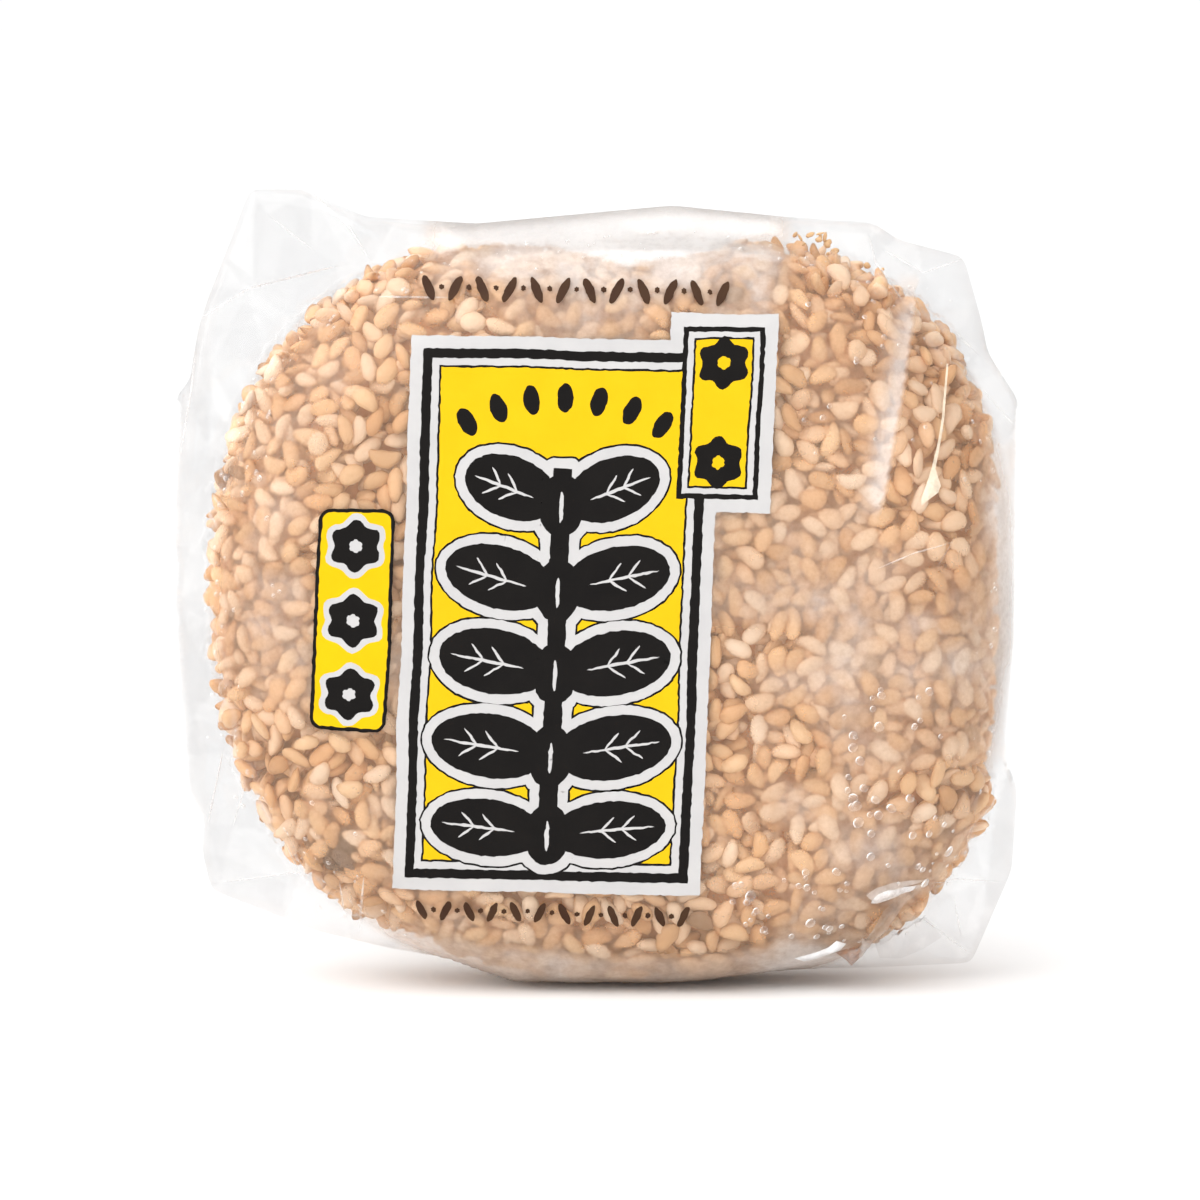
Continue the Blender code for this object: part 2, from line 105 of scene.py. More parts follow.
SEED_SPREAD, SEED_LEAST, SEED_MOST = 0.09, 0.8, 1.2
SEED_TAPERS, SEED_BEND, SEED_CURL = (0.06, 0.30), 0.09, 0.07
SPOTTED_SHARE, SPOT_DARKNESS = 0.004, (0.3, 0.9)
AT_RIM, RIM_TILTS = (0.75, 0.95), (2.2, 1.0)  # how outward a place faces, and how much more seeds tilt
ROOM_FROM, ROOM_SPAN = 1.5, 3.0  # how far the film is from the cake where seeds start to stand out
TILTED_SINKS, LOOSE_SINKS_LESS = 0.4, 0.6
CORE_INSET, CORE_LUMP, CORE_LUMP_SIZE = 2.7, 0.25, 2.0

# The film's net, on the cake and off it, and how the film lies on the seeds
FILM_STEP, LOOSE_FILM_STEP = 0.5, 0.36
NET_HALF_WIDTH, NET_LOW, NET_HEIGHT = 44.0, -1.0, 86
FILM_OVER_PRINT = 0.22
FILM_REST, FILM_SAG = 0.28, 0.35
REST_LEFT, REST_LEFT_BY_PRINT = 0.7, 0.5  # the part of FILM_REST that it keeps over each seed
TOP_GRID, TOP_GRID_LOW, TOP_GRID_SIZE = 0.3, (-44.0, -2.0), (90, 86)
NO_SEED, TOP_SLOPE, TOP_ROUNDS = -5.0, 0.06, 2
MEMBRANE_STEPS, EVENING_STEPS = 60, 12
LOOSE_FILM = (0.97, 1.05)  # where it comes off the cake, as a part of the way to the rim
# the facets' tones are painted shade and painted reflection
FACET_SIZES, FACET_DEPTHS, FACET_PAINTED_SHADES = (7.0, 3.1), (0.75, 0.25), (0.65, 0.35)  # big facets and small ones
FACET_CONTRAST = (0.1, 0.9)
CRUMPLED_MOST, CRUMPLED_PART = 3.0, 0.6
KNOTS_ACROSS, KNOTS_UP, KNOT_STRAY = (-48, 50), (-6, 88), 0.45
LIE_REACH = 0.5

# Where the film was folded, on its front: how deep, 0 to 1, half the width of its pale ridge, partly the
# film's own whitening and partly painted highlight, and its line
FOLDS = (
    (0.0, 0.00, ((-33.9, 79.3), (-34.0, 70.2))),
    (0.9, 0.10, ((-39.8, 66.5), (-34.6, 69.7), (-25.6, 72.0))),
    (0.1, 0.07, ((-28.3, 79.3), (-24.4, 75.8), (-22.2, 72.4))),
    (0.9, 0.06, ((-32.6, 77.0), (-28.2, 73.6))),
    (0.1, 0.08, ((-39.9, 63.5), (-40.4, 58.7), (-41.3, 53.5))),
    (0.8, 0.00, ((-38.2, 62.0), (-38.6, 54.0), (-40.6, 44.0))),
    (0.0, 0.08, ((-37.2, 23.8), (-38.9, 16.2))),
    (0.9, 0.06, ((-37.2, 23.0), (-35.1, 20.2), (-36.4, 15.9))),
    (0.1, 0.08, ((-31.0, 15.1), (-29.6, 11.4), (-37.7, 10.1))),
    (0.9, 0.10, ((-25.5, 11.5), (-25.0, 6.5))),
    (0.0, 0.12, ((-23.0, 12.0), (-23.7, 5.5))),
    (0.0, 0.07, ((33.0, 11.0), (40.7, 10.2))),
    (0.9, 0.09, ((32.5, 6.7), (37.3, 3.0))),
    (0.0, 0.10, ((30.2, 9.5), (27.2, 5.9), (25.9, 2.6))),
    (0.1, 0.06, ((35.8, 8.8), (36.6, 4.6))),
    (0.0, 0.10, ((27.0, 74.9), (27.6, 72.5), (30.3, 68.6))),
    (0.9, 0.07, ((28.4, 73.6), (32.4, 71.3), (36.4, 72.6))),
    (0.1, 0.06, ((32.0, 70.8), (31.2, 68.4))),
    (0.8, 0.08, ((35.2, 65.8), (38.0, 63.1))),
    (0.0, 0.08, ((38.3, 59.8), (41.4, 56.3))),
)
FACE_CREASES = (  # half the width, and the line
    (0.10, ((-21.4, 69.3), (-14.4, 69.3))),
    (0.07, ((27.4, 42.8), (31.2, 44.4), (34.9, 45.4))),
    (0.05, ((34.9, 45.4), (33.4, 43.0))),
)
# the colours are painted light: painted highlight on the pinch, lip and shard, the cake's painted reflection
# and shade on the flap
FACE_FOLDS = (  # name, colour, least and most opaque, how far it stands out, outline
    ("film_pinch", "#F6E8D0", 0.55, 0.90, 0.20, (
        (34.42, 62.68), (33.86, 57.55), (33.3, 54.59), (32.74, 52.43), (31.82, 49.67), (31.82, 49.07),
        (33.49, 50.26), (33.74, 50.95), (33.2, 52.62), (33.62, 54.69), (34.12, 57.55), (34.62, 62.68),
    )),
    ("film_lip", "#FFFFFF", 0.35, 0.75, 0.45, (
        (27.78, 9.3), (28.95, 9.64), (30.49, 10.16), (31.73, 10.57), (32.65, 11.0), (31.26, 10.91),
        (29.88, 10.84), (28.34, 10.63), (27.35, 10.13), (27.17, 9.36),
    )),
    ("film_shard", "#FFFFFF", 0.75, 0.95, 0.45, (
        (20.64, 2.98), (21.87, 3.16), (23.1, 3.78), (24.21, 4.09), (24.83, 4.9), (23.81, 5.39),
        (23.04, 4.71), (21.87, 4.09), (19.65, 3.47),
    )),
    ("film_flap", "#B98E74", 0.40, 0.80, 0.55, (
        (24.33, 3.22), (25.01, 2.54), (25.57, 1.8), (26.24, 2.54), (26.55, 3.29), (26.49, 4.15),
        (24.8, 4.09), (23.72, 3.91),
    )),
)
TUCKS = (  # outline, lift and haze
    ((
        (27.2, 9.67), (28.39, 10.16), (29.87, 10.76), (31.74, 11.15), (32.93, 11.45), (31.15, 11.55),
        (29.27, 11.45), (27.6, 10.96), (26.61, 10.26),
    ), 0.5, 0.5),
    ((
        (30.16, 10.26), (28.39, 8.37), (27.2, 6.09), (26.21, 4.11), (25.62, 2.22), (26.61, 2.82),
        (27.6, 4.6), (29.27, 7.08), (30.75, 9.27), (32.53, 10.56), (32.93, 11.45),
    ), 0.8, 0.3),
    ((
        (27.79, 4.5), (28.39, 2.62), (30.46, 2.42), (32.93, 3.41), (34.7, 4.6), (33.12, 6.59), (30.85, 8.18),
        (29.27, 6.99),
    ), 0.35, 0.03),
)

# The film's ends on the back, as in the CAD model
FOLD_HALF_WIDTH, FOLD_HALF_HEIGHT, SEAL_HALF_HEIGHT, SEAL_WIDTH = 31.0, 21.0, 8.0, 7.0
END_COLUMNS, END_ROWS, PLEATS, RIB_PITCH = 110, 70, 11, 1.0
FILM_ENDS = (("film_end_left", -1, 0.25), ("film_end_right", 1, 0.50))  # name, side and how far it stands out
PLEAT_DEPTH, PLEAT_WANDER, RIB_DEPTH = 0.35, 2.5, 0.09

# Crumbs of crust that the film holds: their size and form, how far back they are, and where
CRUMB_SIZES, CRUMB_SHAPE, CRUMB_LUMPS, CRUMB_DEPTHS = (0.10, 0.34), (1.0, 1.3, 1.2), 0.3, (-2.6, -1.2)
CRUMB_SPOTS = (  # left, right, low, high, how many
    (18.8, 24.0, 71.6, 75.2, 22),
    (24.0, 29.0, 67.8, 72.4, 12),
    (30.4, 34.0, 62.6, 66.4, 7),
    (-21.0, -16.0, 8.0, 10.5, 6),
)

# Fog on the front film: damp patches (x, z, half sizes, how much more or less), and strokes, the first a
# white band of painted highlight (how white, how wide on the left and right of the line as it runs, the line)
FOG_PATCHES = (
    (-22.5, 70.8, 3.5, 2.4, -0.9),
    (13.3, 27.8, 4.5, 6.5, -0.8),
    (33.0, 21.0, 4.5, 5.0, -0.4),
    (26.0, 17.0, 7.0, 6.0, 0.35),
    (2.0, 70.0, 17.0, 3.5, 0.35),
    (21.8, 72.3, 2.6, 2.4, -1.2),
    (27.2, 69.0, 2.0, 1.4, -0.8),
    (-35.5, 48.0, 5.0, 14.0, 0.5),
    (-29.0, 57.0, 7.0, 8.0, 0.3),
    (-33.0, 30.0, 5.0, 8.0, -0.2),
    (27.5, 36.0, 10.0, 11.0, 0.45),
    (24.0, 58.0, 6.0, 9.0, 0.45),
    (37.0, 40.0, 2.5, 16.0, 0.25),
    (-20.5, 18.5, 5.0, 5.0, 0.6),
    (15.3, 72.0, 4.0, 2.0, 0.5),
    (16.0, 12.0, 9.0, 5.0, 0.35),
    (-10.0, 6.5, 16.0, 2.5, 0.5),
)
FOG_STROKES = (
    # a white band of painted highlight where the film turns toward the rim, laid on as fog
    (0.42, 0.5, 3.4, ((31.4, 68.6), (30.6, 65.0), (29.6, 59.4), (28.7, 54.5), (28.0, 50.0))),
    (0.16, 1.2, 1.2, ((41.0, 54.0), (41.2, 44.0), (40.8, 33.0))),
)
FOG_LUMPS, FOG_DAMP = ((11.0, 0.6), (4.0, 0.4)), (0.35, 0.8)  # sizes and shares of the damp, and its contrast
FOG_ENDS, OPEN_GAP, MOST_DAMP = (0.985, 1.035), (0.1, 1.6), 1.3
FOG_LEAST, FOG_OF_DAMP, FOG_OF_GAP, LOOSE_FOG = 0.105, 0.12, 0.24, 0.008
BLUR_LEAST, BLUR_OF_DAMP, BLUR_OF_GAP = 0.10, 0.12, 0.14
TOP_FOG, NEAR_TOP_FOG, FOOT_FOG = 0.88, 0.25, 0.20
TOP_FOG_ENDS = (-18.0, -13.0, 16.0, 20.0)
MOST_FOG, MOST_BLUR = 0.96, 0.9
CAKE_SHOWS_TO = (  # the top of the cake, as far as it shows through the fog: x, z
    (-21.4, 70.4), (-16.4, 72.9), (-12.5, 74.6), (-4.2, 74.3), (0.4, 73.3), (2.8, 72.5), (6.3, 73.1),
    (9.2, 73.7), (16.8, 75.5), (19.4, 74.3),
)
BLURRED_BELOW = (  # the fogged band at the foot: x and the height of its upper edge
    (-25.0, 5.5), (-17.0, 6.3), (-8.0, 5.2), (2.0, 4.2), (12.0, 4.4), (20.0, 5.6), (27.0, 5.0),
)

# Beads of water: how many lie round the rim, and the zones of bigger ones
BEADS_AT_RIM, RIM_BEAD_SIZES, RIM_BEAD_SPREAD = 260, (0.10, 0.30), 0.03
BEAD_ZONES = (  # left, right, low, high, how many, least and most radius
    (24.0, 35.0, 11.0, 31.0, 42, 0.26, 0.62),
    (13.0, 27.0, 5.0, 13.0, 32, 0.24, 0.56),
    (20.0, 36.0, 52.0, 70.0, 18, 0.14, 0.34),
    (-37.5, -31.0, 36.0, 60.0, 16, 0.18, 0.42),
    (-30.0, -23.0, 6.0, 22.0, 18, 0.16, 0.38),
)
BEAD_RINGS, BEAD_SIDES, BEAD_RISE = 4, 12, 0.55
BEADS_FROM_EDGE, BEADS_ABOVE = 2, 4
# the side on which each bead's crescent of painted highlight lies
BEAD_PAINTED_HIGHLIGHT_SIDE = Vector((-0.85, 0.0, 0.5))

# The print: a frame of its own, u to the right and v up, from the border's lower left corner
PRINT_ORIGIN = (-20.19, 11.0)
PRINT_SLOPE, PRINT_LEAN = math.radians(0.9), math.radians(2.3)
PRINT_CLEAR, PRINT_REST = 0.30, 0.06
PRINT_STEP, PRINT_GRID = 0.32, 1.1
PRINT_NEAR = (0.2, 1.3)
PRINT_TREMBLE, PRINT_DRIFT = (0.14, 0.42), (0.30, 7.0)  # how far its edges stray, and how long the waves are
LABEL = (0.0, 0.0, 30.4, 54.8)  # u, v, width, height
LABEL_LINES = (("white", 0.0), ("black", 1.2), ("white", 2.13), ("black", 2.83), ("yellow", 3.05))
BADGE = (25.16, 37.9, 10.55, 19.45)
BADGE_LINES = (("black", 1.27), ("white", 1.77), ("black", 2.32), ("yellow", 2.54))
TAB = (-8.52, 15.8, 7.48, 22.0)
TAB_LINES = (("black", 0.0), ("bright", 0.36))
TAB_CORNER = 1.2

STALK_U, STALK_BOTTOM, STALK_TOP, STALK_WIDTH = 15.2, 3.9, 42.0, 1.8
LEAF_ROWS = (  # v of the row, leaf length, leaf width, droop in degrees
    (38.4, 9.6, 6.0, -20.0),
    (30.0, 10.8, 6.2, -14.0),
    (21.8, 11.2, 6.4, -12.0),
    (13.6, 11.4, 6.4, -10.0),
    (5.8, 11.2, 5.8, -6.0),
)
POD_LENGTH, POD_WIDTH = 6.2, 4.4
BADGE_BLOOMS, TAB_BLOOMS, BLOOM_RADIUS = 2, 3, 2.35
BLOOM_PETALS, BLOOM_WAVE = 6, 0.12
BLOOM_HALO, BLOOM_EYE = 0.6, 0.62
MOTIF_OUTLINE, MOTIF_KEYLINE = 0.95, 0.2
VEIN_PLACES, VEIN_LEAN = (0.2, 0.38, 0.56), 42
RIB_SIZE, VEIN_SIZE, SLIT_SIZE = (0.66, 0.30), (0.34, 0.24), (0.5, 0.42)  # part of the leaf, and width
ARCH_SEEDS, ARCH_MIDDLE, ARCH_RADIUS, ARCH_TURN, ARCH_SEED = 7, (15.2, 29.8), 17.6, 10.0, (3.0, 1.6)
SEED_ROWS = (  # u, v, step, how many and how long: the rows above and below the label
    (1.4, 58.1, 2.62, 12, 2.6),
    (3.0, -3.1, 2.35, 12, 2.2),
)
ROW_LEAN, ROW_SLIM, ROW_DOT = 25, 0.34, 0.26
INKS = {  # material, colour, its faded colour, roughness, slot and the nodes that it stands for
    "white": ("white_ink", "#BFBDBC", "#B8B6B6", 0.30, "print_white", ("label_border",)),
    "black": ("black_ink", "#0D0A09", "#13100E", 0.26, "print_black", (
        "label_frame", "label_plant", "badge_frame", "badge_bloom_1", "badge_bloom_2",
        "tab_frame", "tab_bloom_1", "tab_bloom_2", "tab_bloom_3",
    )),
    "yellow": ("yellow_ink", "#DCB30C", "#D8AE06", 0.30, "print_yellow", ("label_field", "badge_field")),
    "bright": ("bright_yellow_ink", "#DCB502", "#D8AF00", 0.30, "print_yellow", ("tab_field",)),
    "line": ("brown_line_ink", "#3A2418", "#46301F", 0.35, "print_black", ()),
}

# Patterns in the materials, as how many go to the metre
SEED_MOTTLE, SEED_SKIN = 1100.0, 5200.0  # spots of 0.9 mm, and skin cells drawn at 0.2 mm so that they show
RICE_LUMPS = 420.0  # 2.4 mm
FILM_STREAKS, FOG_DROPLETS = 420.0, 1300.0  # wear of 2.4 mm, and droplets in clusters of 0.8 mm
FOLD_CRAZING = 900.0  # 1.1 mm
BEAD_RIPPLE = 2400.0  # 0.4 mm
INK_MOTTLE = 260.0  # 3.8 mm

# The camera
TARGET = Vector((0.35, 0.0, 38.5))
CAMERA_ELEVATION, CAMERA_DISTANCE, CAMERA_LENS = 6.0, 610.0, 183.0
SENSOR_WIDTH, NEAREST_SEEN, FARTHEST_SEEN = 36.0, 0.01, 50.0

# The studio: an even glow and soft boxes, each with its direction, strength, and where it starts and is full.
# SKY_SEEN is how bright the glow is where the camera sees past the floor
SKY_BASE, SKY_SEEN = 0.42, 1.02
SOFT_BOXES = (
    ((-0.80, -0.45, 0.45), 0.92, 0.50, 0.85),
    ((-0.75, -0.55, 0.50), 1.20, 0.940, 0.955),
    ((0.85, -0.30, 0.40), 0.14, 0.55, 0.88),
    ((-0.30, -1.00, 0.35), 1.00, 0.10, 0.95),
    ((0.00, 0.15, 1.00), 0.45, 0.30, 0.85),
    ((-0.30, 1.00, 0.25), 0.30, 0.00, 0.80),
)
# The floor is white paper, painted darker in a strip behind the pack as painted shade, as if less light fell
# there, so that the clear
# film shows against it: how white the paper and the strip are, where the strip starts, and how wide it
# spreads
FLOOR_WHITE, PAINTED_SHADE_WHITE = 0.90, 0.705
PAINTED_SHADE_STARTS, PAINTED_SHADE_ENDS = (0.025, 0.095), (0.071, 0.080)
FLOOR_HALF = 8
WINDOW_STRENGTH, WINDOW_SPREAD, WINDOW_SIDE = 0.3, 60, Vector((-0.35, -0.35, 0.9))


# The pack's form


def cake_reach(angle):
    """From the cake's middle to its rim in these directions."""
    power = np.array(CORNER_POWERS)[(angle % math.tau // (math.pi / 2)).astype(int) % 4]
    across, up = np.abs(np.cos(angle)), np.abs(np.sin(angle))
    return ((across / CAKE_HALF_WIDTH) ** power + (up / CAKE_HALF_HEIGHT) ** power) ** (-1 / power)


def cake_depth(r, reach):
    """Half the cake's depth at r from its middle, where its rim is at reach."""
    inward = np.clip((reach - r) / RIM_ROUND, 0.0, 1.0)
    round_off = (1 - (1 - inward) ** RIM_POWER) ** (1 / RIM_POWER)
    return (CAKE_HALF_DEPTH + FACE_CROWN * (1 - (r / reach) ** 2)) * round_off


def edge_table():
    """The film's edge by direction from the cake's middle: how far out, and half the film's depth."""
    angles = np.arange(EDGE_TABLE) * math.tau / EDGE_TABLE - math.pi
    across, up = np.cos(angles), np.sin(angles)
    far, half = np.zeros(EDGE_TABLE), np.zeros(EDGE_TABLE)
    for (x1, z1, h1), (x2, z2, h2) in zip(FILM_EDGE, FILM_EDGE[1:] + FILM_EDGE[:1]):
        a = (x1 - CAKE_X) * up - (z1 - CAKE_Z) * across
        b = (x2 - CAKE_X) * up - (z2 - CAKE_Z) * across
        crosses = (a < 0) != (b < 0)
        part = np.where(crosses, a / np.where(a == b, 1.0, a - b), 0.0)
        r = (x1 + part * (x2 - x1) - CAKE_X) * across + (z1 + part * (z2 - z1) - CAKE_Z) * up
        hit = crosses & (r > 0)
        far[hit], half[hit] = r[hit], (h1 + part * (h2 - h1))[hit]
    return angles, far, half


EDGE_ANGLES, EDGE_FAR, EDGE_HALF = edge_table()


def polar(x, z):
    """Distance and direction from the cake's middle."""
    return np.hypot(x - CAKE_X, z - CAKE_Z), np.arctan2(z - CAKE_Z, x - CAKE_X)


def film_reach(angle):
    """From the cake's middle to the film's edge, and half the film's depth there."""
    far = np.interp(angle, EDGE_ANGLES, EDGE_FAR, period=math.tau)
    return far, np.interp(angle, EDGE_ANGLES, EDGE_HALF, period=math.tau)


def film_depth(x, z):
    """Half the pack's depth at x, z: the film lies on the cake, then dips in round the rim to its edge."""
    r, angle = polar(x, z)
    reach = cake_reach(angle)
    edge, edge_depth = film_reach(angle)
    edge = np.maximum(edge, reach + 0.2)
    steepest, leaves_at = np.zeros_like(r), reach.copy()
    for i in range(PROFILE_STEPS):
        at = reach - RIM_ROUND * i / (PROFILE_STEPS - 1)
        slope = (cake_depth(at, reach) - edge_depth) / (edge - at)
        steeper = slope > steepest
        steepest, leaves_at = np.where(steeper, slope, steepest), np.where(steeper, at, leaves_at)
    on_cake = cake_depth(np.minimum(r, reach), reach)
    straight = edge_depth + steepest * np.maximum(edge - r, 0.0)
    off_cake = straight + (np.maximum(on_cake, edge_depth) - straight) * FILM_CLING
    return np.where(r <= leaves_at, on_cake, off_cake)


def of_the_way(x, z):
    """How far x, z is from the cake's middle, as a part of the way to its rim."""
    r, angle = polar(x, z)
    return r / cake_reach(angle)


def smooth_step(low, high, value):
    part = np.clip((value - low) / (high - low), 0.0, 1.0)
    return part * part * (3 - 2 * part)


def soft_noise(x, z, size, seed):
    """Soft noise from 0 to 1 with lumps of this size."""
    cells, far_off = 64, 500.0
    table = np.random.default_rng(seed).random((cells, cells))
    a, b = np.asarray(x) / size + far_off, np.asarray(z) / size + far_off
    i, j = np.floor(a).astype(int), np.floor(b).astype(int)
    s, t = a - i, b - j
    s, t = s * s * (3 - 2 * s), t * t * (3 - 2 * t)
    i, j = i % cells, j % cells
    k, m = (i + 1) % cells, (j + 1) % cells
    low = table[i, j] * (1 - s) + table[k, j] * s
    high = table[i, m] * (1 - s) + table[k, m] * s
    return low * (1 - t) + high * t


# Pieces


def linear(hex_colour):
    """The linear red, green and blue of an sRGB colour, and an alpha of 1."""
    parts = [int(hex_colour[i : i + 2], 16) / 255 for i in (1, 3, 5)]
    return [p / 12.92 if p <= 0.04045 else ((p + 0.055) / 1.055) ** 2.4 for p in parts] + [1.0]


def add(tree, kind, inputs=None, out=0, **settings):
    """Adds a node and gives one of its outputs. An input is a value, or the output that it is linked from.

    A Mix node takes two colours as its inputs 6 and 7 and gives its output 2.
    """
    made = tree.nodes.new("ShaderNode" + kind)
    for name, value in settings.items():
        setattr(made, name, value)
    for name, value in (inputs or {}).items():
        if isinstance(value, bpy.types.NodeSocket):
            tree.links.new(value, made.inputs[name])
        else:
            made.inputs[name].default_value = value
    return made.outputs[out] if made.outputs else None


def new_material(name):
    """A material with an empty node tree."""
    material = bpy.data.materials.new(name)
    material.use_nodes = True
    material.node_tree.nodes.clear()
    return material, material.node_tree


def mesh_piece(
    name, vertices, faces, material, looks=None, stands_for=("wrapped_daifuku",)
):
    """A smooth mesh of points in millimetres that rides on the pack. Looks are values at its points."""
    mesh = bpy.data.meshes.new(name)
    mesh.from_pydata(np.asarray(vertices, float) * MM, [], [[int(i) for i in face] for face in faces])
    for key, values in (looks or {}).items():
        values = np.asarray(values, np.float32)
        if values.ndim == 2:
            mesh.attributes.new(key, "FLOAT_VECTOR", "POINT").data.foreach_set("vector", values.ravel())
        else:
            mesh.attributes.new(key, "FLOAT", "POINT").data.foreach_set("value", values)
    mesh.polygons.foreach_set("use_smooth", [True] * len(mesh.polygons))
    mesh.materials.append(material)
    piece = bpy.data.objects.new(name, mesh)
    bpy.context.scene.collection.objects.link(piece)
    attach(piece, "root")
    if stands_for:
        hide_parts(*stands_for)


def quads(rows, columns, around=False):
    """The quads between rows of points, each this many points long, closed round where around."""
    found = []
    for k in range(rows - 1):
        for j in range(columns if around else columns - 1):
            a, b = k * columns + j, k * columns + (j + 1) % columns
            found.append((a, b, b + columns, a + columns))
    return found


def joined(parts):
    """Several meshes as one: points and faces."""
    vertices, faces, count = [], [], 0
    for points, ours in parts:
        vertices.append(points)
        faces += [tuple(i + count for i in face) for face in ours]
        count += len(points)
    return np.concatenate(vertices), faces


def only_used(points, faces):
    """The points that these faces use, and the faces numbered by them."""
    used = sorted({i for face in faces for i in face})
    place = {i: n for n, i in enumerate(used)}
    return points[used], [[place[i] for i in face] for face in faces]


def divided(line, step, closed=True):
    """A line of points, or a closed loop, with its long sides divided."""
    points = []
    for start, end in zip(line, line[1:] + line[:1] if closed else line[1:]):
        parts = max(1, round(math.dist(start, end) / step))
        points += [tuple(a + (b - a) * i / parts for a, b in zip(start, end)) for i in range(parts)]
    return points if closed else points + [tuple(line[-1])]


# Materials


def seed_material(name, pale, deep, tip):
    """Hulled sesame, lightly roasted: a dry matt skin with a faint oily sheen, mottled, brown at the tip, and
    darker toward its rim, partly a brown glaze and partly painted shade where seeds touch.
    """
    material, tree = new_material(name)
    tone, end, dark, edge = (
        add(tree, "Attribute", out="Fac", attribute_name=look) for look in ("tone", "tip", "dark", "rim")
    )
    place = add(tree, "TexCoord", out="Object")
    mottle = add(tree, "TexNoise", {"Vector": place, "Scale": SEED_MOTTLE, "Detail": 3.0, "Roughness": 0.6})
    mixed = add(tree, "Math", {0: mottle, 1: 0.7, 2: tone}, operation="MULTIPLY_ADD")
    part = add(tree, "MapRange", {"Value": mixed, "From Min": 0.25, "From Max": 1.35})
    skin = add(tree, "Mix", {0: part, 6: linear(pale), 7: linear(deep)}, 2, data_type="RGBA")
    # darker toward the rim: partly a brown glaze, partly painted shade where seeds touch
    tip_and_rim_shade = add(tree, "Math", {0: edge, 1: 0.25, 2: end}, operation="MULTIPLY_ADD", use_clamp=True)
    tipped = add(tree, "Mix", {0: tip_and_rim_shade, 6: skin, 7: linear(tip)}, 2, data_type="RGBA")
    # seeds darkened in the listed places and a few at random
    darkened = add(tree, "Mix", {0: dark, 6: tipped, 7: linear("#5A4A42")}, 2, data_type="RGBA")
    cells = add(tree, "TexNoise", {"Vector": place, "Scale": SEED_SKIN, "Detail": 2.0})
    height = add(tree, "Math", {0: cells, 1: 0.3, 2: mottle}, operation="MULTIPLY_ADD")
    bump = add(tree, "Bump", {"Height": height, "Strength": 0.4, "Distance": 0.3 * MM})
    hull = add(tree, "BsdfPrincipled", {"Base Color": darkened, "Roughness": 0.42, "IOR": 1.46, "Normal": bump})
    add(tree, "OutputMaterial", {"Surface": hull})
    return material


def rice_cake_material():
    """Pounded rice under the crust: soft and damp, coloured a saturated brown, partly its own tan and partly
    painted shade of the deep gaps between the seeds.
    """
    material, tree = new_material("pounded_rice_cake_tan_and_painted_shade")
    place = add(tree, "TexCoord", out="Object")
    lumps = add(tree, "TexNoise", {"Vector": place, "Scale": RICE_LUMPS, "Detail": 4.0})
    # brown: partly the rice's own tan, partly painted shade of the gaps
    colour = add(tree, "Mix", {0: lumps, 6: linear("#E0A067"), 7: linear("#C67F4A")}, 2, data_type="RGBA")
    bump = add(tree, "Bump", {"Height": lumps, "Strength": 0.5, "Distance": 0.3 * MM})
    flesh = add(tree, "BsdfPrincipled", {"Base Color": colour, "Roughness": 0.6, "IOR": 1.42, "Normal": bump})
    add(tree, "OutputMaterial", {"Surface": flesh})
    return material


